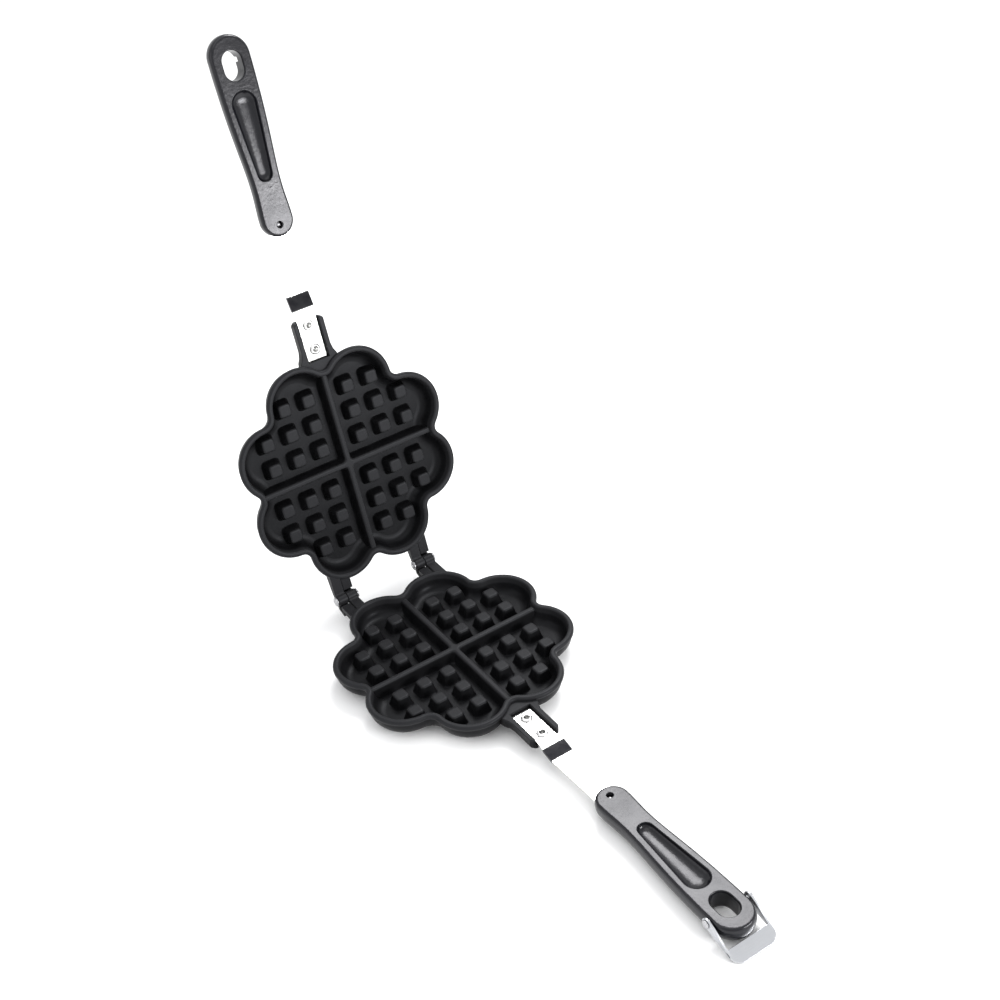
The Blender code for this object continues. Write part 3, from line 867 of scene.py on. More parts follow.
@dataclass
class Workshop:
    """Holds the finishes and the trees, and hands finished pieces to the frame."""

    finishes: dict[Slot, bpy.types.Material] = field(default_factory=dict)
    flower: Tree = field(default_factory=flower_tree)
    blocks: Tree = field(default_factory=block_tree)
    row: Tree = field(default_factory=row_tree)

    def finish(self, slot: Slot) -> bpy.types.Material:
        """The material of a slot, made the first time it is asked for."""
        if slot not in self.finishes:
            self.finishes[slot] = slot.value[1].make()
        return self.finishes[slot]

    def hand_over(self, name: str, mesh: bpy.types.Mesh, place: Matrix, slot: Slot, body: str,
                  nodes: Sequence[str], sharp: float = 40.0) -> bpy.types.Object:
        """Carry a mesh into the frame as one finished piece.

        Args:
            name: The piece's name.
            mesh: Its mesh in its own frame.
            place: Carries its own frame into the frame.
            slot: Its material slot.
            body: The body it rides on.
            nodes: The CAD nodes it stands for.
            sharp: Edges sharper than this many degrees stay crisp.

        Returns:
            The piece.
        """
        mesh.name = name
        own = mesh.attributes.get("half_frame") or mesh.attributes.new(
            "half_frame", "FLOAT_VECTOR", "POINT")
        flat = [part for vertex in mesh.vertices for part in vertex.co]
        own.data.foreach_set("vector", flat)
        mesh.transform(place)
        mesh.materials.clear()
        mesh.materials.append(self.finish(slot))
        mesh.shade_smooth()
        mesh.set_sharp_from_angle(angle=math.radians(sharp))
        rough = rough_object(f"{name} rough", mesh)
        level = rough.modifiers.new("flat faces stay flat", "WEIGHTED_NORMAL")
        level.keep_sharp = True
        mesh = settle(rough)
        mesh.name = name
        piece = bpy.data.objects.new(name, mesh)
        bpy.context.scene.collection.objects.link(piece)
        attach(piece, body)
        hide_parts(*nodes)
        LOG.info("%s: %d faces, on %s", name, len(mesh.polygons), body)
        return piece


@dataclass(frozen=True)
class HingeLine:
    """Where the lid turns, and how far it stands open."""

    y: float
    z: float
    open_angle: float = math.radians(106.5)

    @classmethod
    def from_frame(cls) -> HingeLine:
        """Read the axis from the hinge pins."""
        low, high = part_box("right_hinge_pin")
        return cls((low[1] + high[1]) / 2, (low[2] + high[2]) / 2)


class Half(Enum):
    """The two halves of the iron."""

    LOWER = "lower"
    UPPER = "upper"

    @property
    def body(self) -> str:
        """The body that the half rides on."""
        return "base" if self is Half.LOWER else "lid"

    def place(self, hinge: HingeLine) -> Matrix:
        """Carry the half frame into the frame.

        Args:
            hinge: The lid's hinge.

        Returns:
            The half's matrix.
        """
        if self is Half.LOWER:
            return Matrix.Translation((0.0, 0.0, hinge.z))
        swing = Matrix.Rotation(-hinge.open_angle, 4, "X")
        return (Matrix.Translation((0.0, hinge.y, hinge.z)) @ swing
                @ Matrix.Translation((0.0, -hinge.y, 0.0)) @ Matrix.Rotation(math.pi, 4, "Y"))


# ------------------------------------------------------------------ the cast plate

@dataclass
class CastPlate:
    """One cast plate: flower pan, dividing cross, waffle blocks, strap socket and hinge lugs."""

    half: Half
    hinge: HingeLine
    lobe_ring: float = 49.0
    lobe_radius: float = 22.5
    notch_fillet: float = 5.0
    around: int = 288
    section: Sequence[tuple[float, float]] = (
        (12.4, -16.0), (11.6, -16.0), (10.4, -15.72), (7.3, -14.2), (4.3, -11.7), (2.2, -8.7),
        (1.3, -6.0), (1.0, -3.9), (0.75, -3.3), (0.2, -2.8), (0.0, -1.9), (0.3, -0.9),
        (1.05, -0.35), (1.9, -0.3), (2.75, -0.38), (3.4, -0.95), (3.75, -2.2), (4.75, -5.9),
        (5.6, -8.0), (6.9, -9.5), (8.6, -10.3), (10.4, -10.58), (11.2, -10.6), (12.0, -10.6),
    )
    block_first: float = 13.3
    block_pitch: float = 16.0
    block_rings: Sequence[Point] = (
        (6.05, 2.0, -10.66), (5.62, 1.7, -10.35), (5.32, 1.5, -9.6), (4.72, 1.35, -7.1),
        (4.12, 1.3, -4.7), (3.96, 1.3, -4.22), (3.72, 1.25, -3.86), (3.38, 1.15, -3.66),
        (2.95, 1.0, -3.6), (2.5, 0.8, -3.6),
    )
    cross_rings: Sequence[tuple[float, float]] = (
        (3.75, -10.66), (3.25, -10.3), (2.95, -9.4), (2.35, -6.6), (1.85, -3.9), (1.68, -3.3),
        (1.4, -2.92), (1.0, -2.74), (0.55, -2.7),
    )
    cross_reach: float = 56.6
    socket_plan: Sequence[tuple[float, float]] = (
        (0.0, 57.6), (3.0, 58.1), (6.5, 60.3), (9.7, 63.5), (12.5, 64.5), (11.9, 67.6),
        (10.5, 70.2), (9.7, 74.0), (9.7, 90.0), (8.3, 91.5),
    )
    socket_rows: Sequence[tuple[float, float]] = (
        (0.68, -10.2), (0.80, -9.85), (0.90, -9.2), (0.97, -8.2), (1.0, -6.9), (1.0, -2.7))
    recess: tuple[float, float, float] = (6.8, 66.7, -7.3)
    knuckle_radius: float = 3.4
    knuckle_bore: float = 1.7
    hinge_x: float = 27.8
    knuckle_width: float = 6.25
    knuckle_gap: float = 0.15

    @property
    def hinge_y(self) -> float:
        """Distance of the hinge axis from the plate's centre, in millimetres."""
        return self.hinge.y / MM

    def band(self) -> bpy.types.Mesh:
        """The plain band that the flower tree bends, with what each point needs for it.

        Returns:
            The band.
        """
        rows = ease(self.section, 3)
        shape = Shape()
        rings = []
        for inset, height in rows:
            ring = []
            for i in range(self.around):
                turn = 2 * math.pi * i / self.around
                reach = 70.0 - inset
                ring.append((reach * math.cos(turn), reach * math.sin(turn), height))
            rings.append(ring)
        shape.loft(rings)
        mesh = shape.mesh("band")
        turns, insets, heights = [], [], []
        for inset, height in rows:
            for i in range(self.around):
                turns.append(2 * math.pi * i / self.around)
                insets.append(inset * MM)
                heights.append(height * MM)
        for name, values in (("turn", turns), ("inset", insets), ("height", heights)):
            mesh.attributes.new(name, "FLOAT", "POINT").data.foreach_set("value", values)
        return mesh

    def pan(self, shop: Workshop) -> bpy.types.Mesh:
        """The flower pan, bent to its scalloped outline by the flower tree."""
        return shop.flower.run("pan", self.band(), shop.finish(Slot.PLATES),
                               lobe_ring=self.lobe_ring * MM, lobe_radius=self.lobe_radius * MM,
                               notch_fillet=self.notch_fillet * MM,
                               half_sector=HALF_SECTOR)

    def block_field(self, shop: Workshop) -> bpy.types.Mesh:
        """Thirty-two blocks with rounded tops and a fillet at the foot, set out by the tree."""
        rings: list[Ring] = []
        for half, corner, z in self.block_rings:
            square = [(half, -half), (half, half), (-half, half), (-half, -half)]
            rings.append([(x, y, z) for x, y in round_corners(square, corner * 1.6)])
        block = Shape().loft(rings, cap_first=False).mesh("block")
        pitch = self.block_pitch * MM
        return shop.blocks.run("blocks", block, shop.finish(Slot.PLATES), pitch=pitch,
                               first=self.block_first * MM, corner_limit=pitch * 2.2)

    def cross(self) -> bpy.types.Mesh:
        """The dividing cross, rounded along its top and filleted where the bars meet."""
        rings: list[Ring] = []
        reach, fillet, steps = self.cross_reach, 2.2, 6
        for half, z in self.cross_rings:
            ring: Ring = []
            for quarter in range(4):
                angle = math.pi / 2 * quarter
                c, s = math.cos(angle), math.sin(angle)
                corner = [(reach, half)]
                centre = half + fillet
                for i in range(steps + 1):
                    turn = math.radians(270 - 90 * i / steps)
                    corner.append((centre + fillet * math.cos(turn),
                                   centre + fillet * math.sin(turn)))
                corner.append((half, reach))
                ring += [(c * x - s * y, s * x + c * y, z) for x, y in corner]
            rings.append(ring)
        return Shape().loft(rings).mesh("cross")

    def socket(self) -> bpy.types.Mesh:
        """The cast arm whose two rails hold the strap."""
        right = [(x, -u) for x, u in self.socket_plan]
        outline = ccw([(-x, y) for x, y in right[:0:-1]] + right)
        rings = [[(x * scale, y, z) for x, y in outline] for scale, z in self.socket_rows]
        half, start, floor = self.recess
        corners = [(-half, -start), (-half, -100.0), (half, -100.0), (half, -start)]
        trough = slab(ccw(corners), floor, 2.0, lambda a, b, c: (a, b, c))
        cuts = [trough]
        for at in RIVETS_AT:
            cuts.append(turned([(RIVET_HOLE, -13.0), (RIVET_HOLE, 2.0)], "z", (0.0, -at), 24))
        return carve("socket", Shape().loft(rings), cuts, 0.55, 3)

    def wall_distance(self, x: float) -> float:
        """Distance from the hinge axis to the casting's wall."""
        cx = self.lobe_ring * math.sin(HALF_SECTOR)
        cy = self.lobe_ring * math.cos(HALF_SECTOR)
        return self.hinge_y - cy - math.sqrt(self.lobe_radius ** 2 - (abs(x) - cx) ** 2)

    def arc(self, first: float, last: float, steps: int) -> list[tuple[float, float]]:
        """Points of a barrel about the hinge axis, as (distance, height)."""
        points = []
        for i in range(steps + 1):
            turn = math.radians(first + (last - first) * i / steps)
            points.append((self.knuckle_radius * math.cos(turn),
                           self.knuckle_radius * math.sin(turn)))
        return points

    def knuckle(self, x: float) -> list[tuple[float, float]]:
        """Barrel, arm and stop tail of a knuckle, as (distance, height)."""
        root = self.wall_distance(x) + 2.0
        return ([(root, -0.45), (4.2, -0.45)] + self.arc(0, 150, 18)
                + [(-5.3, 1.0), (-6.69, 5.32), (-9.18, 4.58), (-6.0, -0.9)]
                + self.arc(200, 290, 10) + [(6.0, -4.6), (root, -6.6)])

    def shelf(self, x: float) -> list[tuple[float, float]]:
        """Stop shelf under the other half's knuckle, as (distance, height)."""
        root = self.wall_distance(x) + 2.0
        return [(root, -1.1), (4.3, -1.1), (4.3, -3.2), (5.4, -4.6), (root, -5.4)]

    def lugs(self) -> list[bpy.types.Mesh]:
        """Both knuckles and both shelves.

        Returns:
            Their meshes.
        """
        meshes = []
        bore = turned([(self.knuckle_bore, -40.0), (self.knuckle_bore, 40.0)], "x",
                      (self.hinge_y, 0.0), 32)
        for centre in (self.hinge_x, -self.hinge_x):
            own = (centre + self.knuckle_gap, centre + self.knuckle_gap + self.knuckle_width)
            other = (centre - self.knuckle_gap - self.knuckle_width, centre - self.knuckle_gap)
            for outline, ends, cuts in ((self.knuckle, own, [bore]), (self.shelf, other, [])):
                rings = []
                for x in ends:
                    flat = ccw([(self.hinge_y - d, z) for d, z in outline(x)])
                    rings.append([(x, y, z) for y, z in flat])
                meshes.append(carve("lug", Shape().loft(rings), cuts, 0.35, 2))
        return meshes

    def build(self, shop: Workshop) -> bpy.types.Object:
        """Make the casting.

        Args:
            shop: The workshop.

        Returns:
            The piece.
        """
        name = f"{self.half.value}_plate"
        meshes = [self.pan(shop), self.block_field(shop), self.cross(), self.socket(),
                  *self.lugs()]
        return shop.hand_over(f"{name}_casting", gather(name, meshes), self.half.place(self.hinge),
                              Slot.PLATES, self.half.body, [name], 46.0)


# ------------------------------------------------------------------ strap arm

@dataclass
class StrapArm:
    """Flat steel strap with a joggle, and the two rivets that hold it in the socket."""

    half: Half
    hinge: HingeLine
    thick: float = 2.0
    edge: float = 0.32
    path: Sequence[Point] = (
        (67.2, -5.0, 5.9), (67.5, -5.0, 6.3), (68.2, -5.0, 6.5), (76.0, -5.0, 6.5),
        (86.0, -5.0, 6.5), (94.0, -5.0, 6.5), (96.0, -5.0, 6.85), (97.4, -5.0, 7.1),
        (98.0, -5.06, 7.1), (98.8, -5.25, 7.1), (102.3, -6.17, 7.1), (105.8, -7.1, 7.1),
        (106.6, -7.33, 7.1), (107.3, -7.4, 7.1), (112.0, -7.4, 7.0), (124.0, -7.4, 6.72),
        (136.0, -7.4, 6.5), (150.0, -7.4, 6.5), (162.5, -7.4, 6.5), (163.5, -7.4, 5.9),
    )
    rivet_profile: Sequence[tuple[float, float]] = (
        (1.0, -11.55), (1.7, -11.6), (2.5, -11.3), (3.0, -10.85), (3.1, -10.5), (3.0, -10.4),
        (2.0, -10.4), (2.0, -4.95), (3.2, -4.95), (3.3, -4.75), (3.2, -4.45), (2.85, -4.1),
        (2.4, -3.88), (2.05, -3.82), (1.82, -3.9), (1.7, -4.1), (1.65, -4.6), (1.6, -9.2),
        (0.5, -9.8),
    )

    def strap(self) -> bpy.types.Mesh:
        """The strap with its edges eased and its holes pierced."""
        rings: list[Ring] = []
        for u, top, half in self.path:
            low = top - self.thick
            corners = [(half, low), (half, top), (-half, top), (-half, low)]
            flat = round_corners(corners, self.edge, 3)
            rings.append([(x, -u, z) for x, z in flat])
        holes = [(RIVET_HOLE, at) for at in RIVETS_AT] + [(SCREW_HOLE, SCREW_AT)]
        cuts = [turned([(radius, -12.0), (radius, -1.0)], "z", (0.0, -at), 28)
                for radius, at in holes]
        return carve("strap", Shape().loft(rings), cuts)

    def build(self, shop: Workshop) -> list[bpy.types.Object]:
        """Make the strap and its rivets.

        Args:
            shop: The workshop.

        Returns:
            The pieces.
        """
        name = self.half.value
        place = self.half.place(self.hinge)
        strap = shop.hand_over(f"{name}_strap", self.strap(), place, Slot.STRAP, self.half.body,
                               [f"{name}_arm"], 34.0)
        first, second = RIVETS_AT
        rivet = turned(self.rivet_profile, "z", (0.0, 0.0), 48).mesh("rivet")
        rivet.transform(Matrix.Translation((0.0, -first * MM, 0.0)))
        pair = shop.row.run("rivets", rivet, shop.finish(Slot.RIVET),
                            spacing=(second - first) * MM)
        rivets = shop.hand_over(f"{name}_rivet_pair", pair, place, Slot.RIVET, self.half.body,
                                [f"{name}_arm_rivet_inner", f"{name}_arm_rivet_outer"], 50.0)
        return [strap, rivets]


# ------------------------------------------------------------------ handle

@dataclass
class Handle:
    """Moulded handle with its thumb trough, hanging slot, strap pocket and screw."""

    half: Half
    hinge: HingeLine
    face: float = -3.0
    edge: float = 2.8
    bottom: float = -15.0
    front: tuple[float, float] = (151.4, 9.8)
    rear: tuple[float, float] = (243.2, 12.1)
    end_steps: int = 14
    widths: Sequence[tuple[float, float]] = (
        (154.7, 9.75), (160.6, 9.4), (167.4, 9.05), (174.3, 9.05), (182.2, 9.45), (191.0, 10.1),
        (199.8, 10.75), (208.6, 11.3), (217.4, 11.7), (225.3, 11.9), (232.1, 12.05),
        (237.0, 12.1), (240.9, 12.1),
    )
    trough_ends: Sequence[tuple[float, float]] = ((178.2, 4.5), (217.2, 7.3))
    trough_levels: Sequence[tuple[float, float]] = (
        (0.03, -3.40), (0.2, -3.37), (0.35, -3.29), (0.5, -3.13), (0.62, -2.93),
        (0.73, -2.65), (0.82, -2.31), (0.9, -1.85), (0.955, -1.36), (0.985, -0.85),
        (1.0, -0.42), (1.02, -0.2), (1.05, -0.06), (1.09, 0.004), (1.09, 0.6),
    )
    slot: Point = (238.4, 8.2, 5.8)
    slot_levels: Sequence[tuple[float, float]] = (
        (1.6, -16.5), (1.4, -15.02), (0.9, -14.9), (0.45, -14.4), (0.1, -13.7), (0.0, -12.8),
        (0.0, -4.2), (0.08, -3.7), (0.25, -3.3), (0.5, -3.07), (0.75, -2.996), (0.75, -2.0),
    )
    pocket: tuple[float, float] = (6.8, 163.9)
    seat: tuple[float, float] = (3.8, -12.8)

    def side(self, inset: float) -> list[tuple[float, float]]:
        """Right-hand edge of the outline, from the front tip to the rear tip.

        Args:
            inset: How far inside the outline.

        Returns:
            (x, distance from the plate's centre) in order.
        """
        turns = [math.radians(90 * i / self.end_steps) for i in range(self.end_steps + 1)]
        (front, front_radius), (rear, rear_radius) = self.front, self.rear
        front_radius -= inset
        rear_radius -= inset
        points = [(front_radius * math.sin(turn), front - front_radius * math.cos(turn))
                  for turn in turns[:-1]]
        points += [(width - inset, u) for u, width in ease(self.widths, 3)]
        points += [(rear_radius * math.sin(turn), rear + rear_radius * math.cos(turn))
                   for turn in reversed(turns)]
        return points

    def ring(self, inset: float, z: float) -> Ring:
        """One closed ring of the handle."""
        side = self.side(inset)
        return ([(-x, -u, z) for x, u in side] + [(x, -u, z) for x, u in side[-2:0:-1]])

    def body(self) -> Shape:
        """The pillow: flat inner face, eased edge and full outer side."""
        widest = self.face - self.edge
        rings = [self.ring(7.4, self.bottom)]
        for i in range(12, -1, -1):
            angle = math.radians(90 * i / 12)
            level = 0.12 + 0.88 * math.sin(angle)
            rings.append(self.ring(6.6 * (1 - math.cos(angle)) + 0.001,
                                   widest + (self.bottom - widest) * level))
        for i in range(0, 8):
            angle = math.radians(90 * i / 7)
            rings.append(self.ring(1.7 * (1 - math.cos(angle)),
                                   widest + self.edge * math.sin(angle)))
        rings.append(self.ring(2.2, self.face))
        return Shape().loft(rings)

    def trough(self) -> Shape:
        """The tapered hollow in the inner face."""
        rings: list[Ring] = []
        (front, front_radius), (rear, rear_radius) = self.trough_ends
        for share, depth in self.trough_levels:
            points = []
            r = front_radius * share
            for i in range(19):
                turn = math.radians(-90 + 10 * i)
                points.append((r * math.sin(turn), -(front - r * math.cos(turn))))
            r = rear_radius * share
            for i in range(19):
                turn = math.radians(90 - 10 * i)
                points.append((r * math.sin(turn), -(rear + r * math.cos(turn))))
            rings.append([(x, y, self.face + depth) for x, y in ccw(points)])
        return Shape().loft(rings)

    def hanging_slot(self) -> Shape:
        """The slot through the tail, with its mouth eased on both sides."""
        centre, half_length, radius = self.slot
        reach = half_length - radius
        rings: list[Ring] = []
        for grow, z in self.slot_levels:
            r = radius + grow
            ring: Ring = []
            for end, start in ((reach, 0), (-reach, 180)):
                for i in range(19):
                    turn = math.radians(start + 10 * i)
                    ring.append((r * math.cos(turn), -centre + end + r * math.sin(turn), z))
            rings.append(ring)
        return Shape().loft(rings)

    def cuts(self) -> list[Shape]:
        """Everything taken out of the pillow."""
        half, end = self.pocket
        pocket = round_corners([(-half, -9.7), (half, -9.7), (half, -7.1), (-half, -7.1)], 0.4, 3)
        shapes = [
            slab(pocket, -end, -138.0, lambda x, z, y: (x, y, z)),
            turned([(SCREW_HOLE, -14.0), (SCREW_HOLE, -3.5), (2.0, -3.12), (2.25, -2.99),
                    (2.25, -2.0)], "z", (0.0, -SCREW_AT), 32),
            turned([(self.seat[0], self.seat[1]), (self.seat[0], -14.7), (4.3, -15.1),
                    (4.3, -16.0)], "z", (0.0, -SCREW_AT), 40),
            self.trough(), self.hanging_slot(),
        ]
        at, height = LATCH_PIVOT
        if self.half is Half.UPPER:
            groove = [(-1.3, 0.0), (1.3, 0.0), (1.5, -3.4), (3.2, -6.5), (-3.2, -6.5),
                      (-1.5, -3.4)]
            shapes.append(slab(ccw([(-at - d, -9.8 + z) for d, z in groove]), -15.0, 15.0,
                               lambda y, z, x: (x, y, z)))
        else:
            for sign in (1, -1):
                ends = sorted((sign * 6.9, sign * 16.0))
                shapes.append(turned([(1.35, ends[0]), (1.35, ends[1])], "x", (-at, height), 24))
        return shapes

    def screw(self) -> bpy.types.Mesh:
        """Pan-head screw with a cross recess, entered from the outer side."""
        profile = [(1.5, -14.72), (2.3, -14.6), (2.85, -14.35), (3.1, -14.0), (3.1, -13.65),
                   (3.02, -13.6), (1.5, -13.6), (1.5, -5.6), (1.15, -5.1), (0.5, -4.9)]
        body = turned(profile, "z", (0.0, -SCREW_AT), 40)
        cuts = []
        for long, short in ((1.75, 0.42), (0.42, 1.75)):
            rings = []
            for scale, z in ((1.0, -15.2), (0.94, -14.4), (0.55, -13.5)):
                corners = ccw([(-long * scale, -short), (long * scale, -short),
                               (long * scale, short), (-long * scale, short)])
                rings.append([(x, y - SCREW_AT, z) for x, y in corners])
            cuts.append(Shape().loft(rings))
        return carve("screw", body, cuts)

    def washer(self) -> bpy.types.Mesh:
        """Plain washer under the screw's head."""
        profile = [(1.75, -13.5), (3.4, -13.5), (3.5, -13.42), (3.5, -13.0), (3.4, -12.92),
                   (1.75, -12.92)]
        return turned(profile, "z", (0.0, -SCREW_AT), 40, hollow=True).mesh("washer")

    def build(self, shop: Workshop) -> list[bpy.types.Object]:
        """Make the handle, its screw and its washer.

        Args:
            shop: The workshop.

        Returns:
            The pieces.
        """
        name, rides, place = self.half.value, self.half.body, self.half.place(self.hinge)
        moulding = carve("handle", self.body(), self.cuts())
        return [
            shop.hand_over(f"{name}_handle_moulding", moulding, place, Slot.HANDLE, rides,
                           [f"{name}_handle"], 38.0),
            shop.hand_over(f"{name}_screw", self.screw(), place, Slot.SCREW, rides,
                           [f"{name}_handle_screw"], 36.0),
            shop.hand_over(f"{name}_screw_washer", self.washer(), place, Slot.SCREW, rides,
                           [f"{name}_handle_washer"], 36.0),
        ]


# ------------------------------------------------------------------ hinge pins and latch

class Side(Enum):
    """The two sides of the iron."""

    RIGHT = 1
    LEFT = -1

    @property
    def label(self) -> str:
        """Its name in the frame."""
        return self.name.lower()

    def profile(self, points: Sequence[tuple[float, float]]) -> list[tuple[float, float]]:
        """A profile drawn for the right side, turned over on the left."""
        if self is Side.RIGHT:
            return list(points)
        return [(radius, -at) for radius, at in reversed(points)]


@dataclass
class HingePin:
    """Headed pin through one pair of knuckles, with its push-on washer."""

    side: Side
    hinge: HingeLine
    inner: float = 21.4
    outer: float = 34.2

    def build(self, shop: Workshop) -> list[bpy.types.Object]:
        """Make the pin and its washer.

        Args:
            shop: The workshop.

        Returns:
            The pieces.
        """
        place = Half.LOWER.place(self.hinge)
        axis = (self.hinge.y / MM, 0.0)
        shank = [(0.9, self.inner - 1.9), (1.3, self.inner - 1.75), (1.5, self.inner - 1.45),
                 (1.5, self.outer + 0.2), (2.75, self.outer + 0.2), (2.9, self.outer + 0.35),
                 (2.88, self.outer + 0.8), (2.6, self.outer + 1.2), (2.05, self.outer + 1.48),
                 (1.2, self.outer + 1.6), (0.5, self.outer + 1.6)]
        ring = [(1.65, self.inner - 1.1), (2.7, self.inner - 1.1), (2.9, self.inner - 0.95),
                (2.9, self.inner - 0.45), (2.7, self.inner - 0.3), (1.65, self.inner - 0.3)]
        label = self.side.label
        pin = turned(self.side.profile(shank), "x", axis, 48).mesh("pin")
        washer = turned(self.side.profile(ring), "x", axis, 48, hollow=True).mesh("washer")
        return [
            shop.hand_over(f"{label}_hinge_rivet_pin", pin, place, Slot.PIN, "base",
                           [f"{label}_hinge_pin"], 45.0),
            shop.hand_over(f"{label}_hinge_cap_washer", washer, place, Slot.SCREW, "base",
                           [f"{label}_hinge_washer"], 45.0),
        ]


@dataclass
class Latch:
    """Sheet-steel swing latch: a plate between two ears, on two stub pins."""

    hinge: HingeLine
    hang: float = math.radians(24.0)
    half: float = 13.8
    thick: float = 1.2
    web: tuple[float, float] = (15.4, 24.1)
    clip: float = 4.2

    @property
    def place(self) -> Matrix:
        """Carry the latch's own frame (x across, y along the plate, z out of it) over."""
        c, s = math.cos(self.hang), math.sin(self.hang)
        at, height = LATCH_PIVOT
        return Matrix((
            (-1.0, 0.0, 0.0, 0.0),
            (0.0, -c, -s, -at * MM),
            (0.0, -s, c, height * MM + self.hinge.z),
            (0.0, 0.0, 0.0, 1.0),
        ))

    def sheet(self) -> bpy.types.Mesh:
        """The plate and both ears."""
        half, (inner, outer), clip = self.half, self.web, self.clip
        side, mid = 0.75 * clip, 0.25 * clip
        outline = [
            (-half, inner), (half, inner), (half, outer - clip),
            (half - mid, outer - clip + side * 0.6), (half - clip, outer),
            (-half + clip, outer), (-half + mid, outer - clip + side * 0.6),
            (-half, outer - clip),
        ]
        plate = slab(round_corners(outline, 0.9, 4), -self.thick / 2, self.thick / 2,
                     lambda a, b, c: (a, b, c))
        meshes = [carve("plate", plate, [], 0.22, 3)]
        bore = turned([(1.4, -20.0), (1.4, 20.0)], "x", (0.0, 0.0), 28)
        for sign in (1, -1):
            ear = [(3.0 * math.cos(math.radians(90 + 180 * i / 24)),
                    3.0 * math.sin(math.radians(90 + 180 * i / 24))) for i in range(25)]
            ear += [(9.0, -2.7), (15.0, -1.6), (19.0, -0.6), (19.0, 0.6), (14.0, 0.8),
                    (9.5, 1.8), (4.5, 2.9)]
            x0, x1 = sorted((sign * half, sign * (half - self.thick)))
            solid = slab(ccw(ear), x0, x1, lambda r, n, x: (x, r, n))
            meshes.append(carve("ear", solid, [bore], 0.2, 2))
        return gather("latch", meshes)

    def pin(self, side: Side) -> bpy.types.Mesh:
        """Stub pin with a low domed head."""
        out = self.half
        profile = [(0.6, 7.1), (0.95, 7.15), (1.2, 7.4), (1.2, out + 0.15), (2.2, out + 0.15),
                   (2.3, out + 0.28), (2.28, out + 0.6), (2.05, out + 0.88), (1.5, out + 1.08),
                   (0.7, out + 1.1)]
        at, height = LATCH_PIVOT
        return turned(side.profile(profile), "x", (-at, height), 40).mesh("stub pin")

    def build(self, shop: Workshop) -> list[bpy.types.Object]:
        """Make the latch and its pins.

        Args:
            shop: The workshop.

        Returns:
            The pieces.
        """
        pieces = [shop.hand_over("latch_sheet", self.sheet(), self.place, Slot.LATCH, "latch",
                                 ["latch_plate"], 40.0)]
        for side in Side:
            pieces.append(shop.hand_over(
                f"{side.label}_latch_stub_pin", self.pin(side), Half.LOWER.place(self.hinge),
                Slot.PIN, "base", [f"{side.label}_latch_pin"], 45.0))
        return pieces


# ------------------------------------------------------------------ studio

@dataclass(frozen=True)
class SoftBox:
    """A plain soft light."""

    name: str
    place: Point
    aim: Point
    size: tuple[float, float]
    glow: float

    def build(self) -> bpy.types.Object:
        """Hang the light.

        Returns:
            The light.
        """
        light = bpy.data.lights.new(self.name, "AREA")
        light.shape = "RECTANGLE"
        light.size, light.size_y = self.size
        light.energy = self.glow * math.pi * self.size[0] * self.size[1]
        lamp = bpy.data.objects.new(self.name, light)
        lamp.location = self.place
        towards = Vector(self.aim) - Vector(self.place)
        lamp.rotation_euler = towards.to_track_quat("-Z", "Y").to_euler()
        lamp.visible_camera = False
        bpy.context.scene.collection.objects.link(lamp)
        return lamp


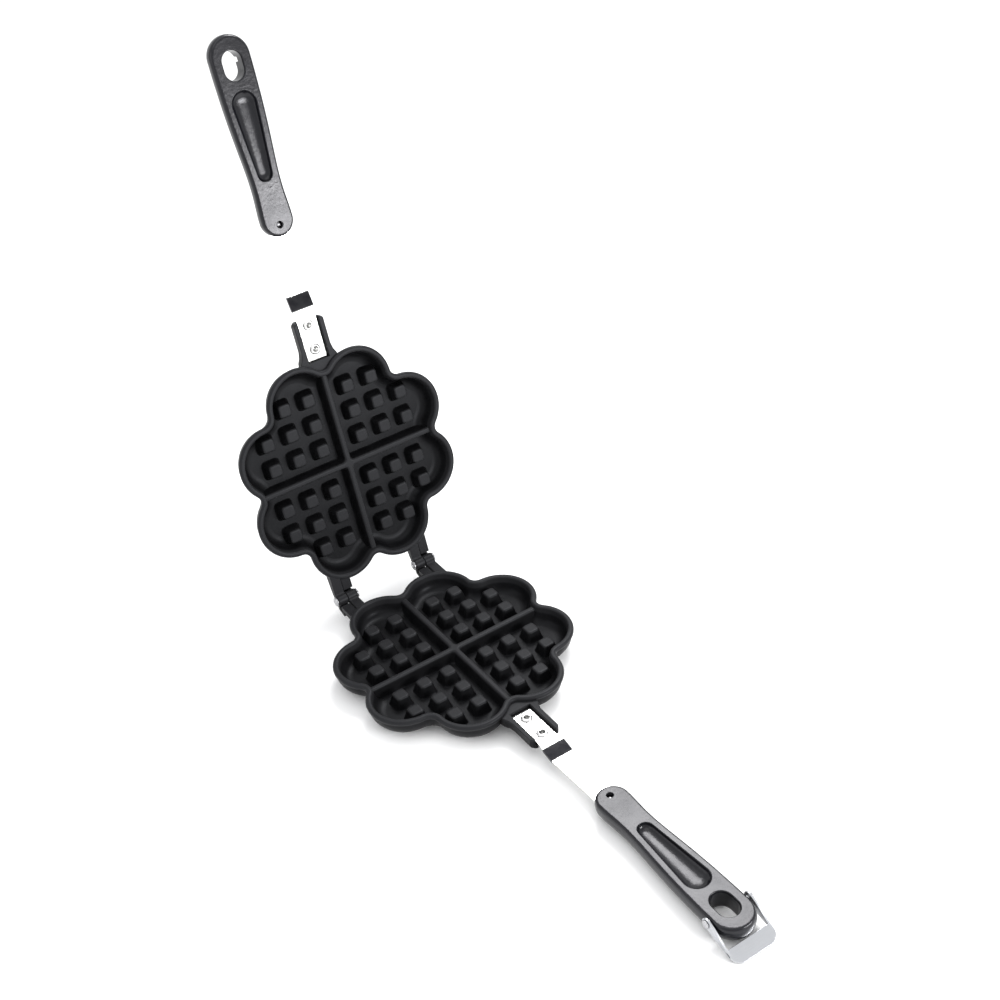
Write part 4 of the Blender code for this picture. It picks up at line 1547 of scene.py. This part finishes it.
@dataclass
class Studio:
    """Pale floor, soft lights and the camera."""

    camera_at: Point = (-0.330709, -0.608026, 0.612518)
    azimuth: float = -0.548016
    elevation: float = 0.623095
    roll: float = -0.0908846
    lens: float = 56.12
    sky: float = 1.02
    boxes: Sequence[SoftBox] = (
        SoftBox("far softbox", (0.505, 0.385, 0.92), (0.0, -0.2, 0.0), (0.46, 0.36), 16.0),
        SoftBox("low card", (0.37, -0.80, 0.315), (0.0, 0.14, 0.24), (0.42, 0.13), 35.0),
        SoftBox("top softbox", (-0.2, -0.1, 1.5), (0.0, 0.0, 0.1), (1.2, 1.2), 1.2),
        SoftBox("left softbox", (-1.3, 0.1, 0.7), (0.0, 0.0, 0.1), (0.9, 0.9), 1.0),
    )

    def floor(self) -> None:
        """Lay the floor."""
        shape = Shape()
        reach = 4000.0
        shape.points = [(-reach, -reach, 0.0), (reach, -reach, 0.0), (reach, reach, 0.0),
                        (-reach, reach, 0.0)]
        shape.faces = [(0, 1, 2, 3)]
        floor = bpy.data.objects.new("studio_floor", shape.mesh("studio_floor"))
        floor.data.materials.append(StudioPaper("studio paper").make())
        bpy.context.scene.collection.objects.link(floor)

    def surround(self) -> None:
        """Light the room evenly."""
        scene = bpy.context.scene
        scene.world = scene.world or bpy.data.worlds.new("studio")
        scene.world.use_nodes = True
        background = scene.world.node_tree.nodes["Background"]
        background.inputs["Color"].default_value = (0.985, 0.99, 1.0, 1.0)
        background.inputs["Strength"].default_value = self.sky
        scene.view_settings.view_transform = "Standard"

    def camera(self) -> None:
        """Set the camera up."""
        data = bpy.data.cameras.new("camera")
        data.lens = self.lens
        data.sensor_width = 36.0
        data.sensor_fit = "HORIZONTAL"
        ca, sa = math.cos(self.azimuth), math.sin(self.azimuth)
        ce, se = math.cos(self.elevation), math.sin(self.elevation)
        back = Vector((sa * ce, -ca * ce, se))
        right = Vector((ca, sa, 0.0))
        up = back.cross(right)
        cr, sr = math.cos(self.roll), math.sin(self.roll)
        across, upward = cr * right + sr * up, -sr * right + cr * up
        pose = Matrix((across, upward, back)).transposed().to_4x4()
        camera = bpy.data.objects.new("camera", data)
        camera.matrix_world = Matrix.Translation(self.camera_at) @ pose
        bpy.context.scene.collection.objects.link(camera)
        bpy.context.scene.camera = camera

    def build(self) -> None:
        """Make the whole studio."""
        self.floor()
        self.surround()
        self.camera()
        for box in self.boxes:
            box.build()
        LOG.info("studio: floor, %d lights, camera", len(self.boxes))


def main() -> None:
    """Build the studio and every piece of the iron in order."""
    logging.basicConfig(level=logging.INFO, format="%(name)s %(message)s")
    Studio().build()
    shop = Workshop()
    hinge = HingeLine.from_frame()
    for half in Half:
        CastPlate(half, hinge).build(shop)
        StrapArm(half, hinge).build(shop)
        Handle(half, hinge).build(shop)
    for side in Side:
        HingePin(side, hinge).build(shop)
    Latch(hinge).build(shop)
    LOG.info("finishes used: %d", len(shop.finishes))


if __name__ == "__main__":
    main()
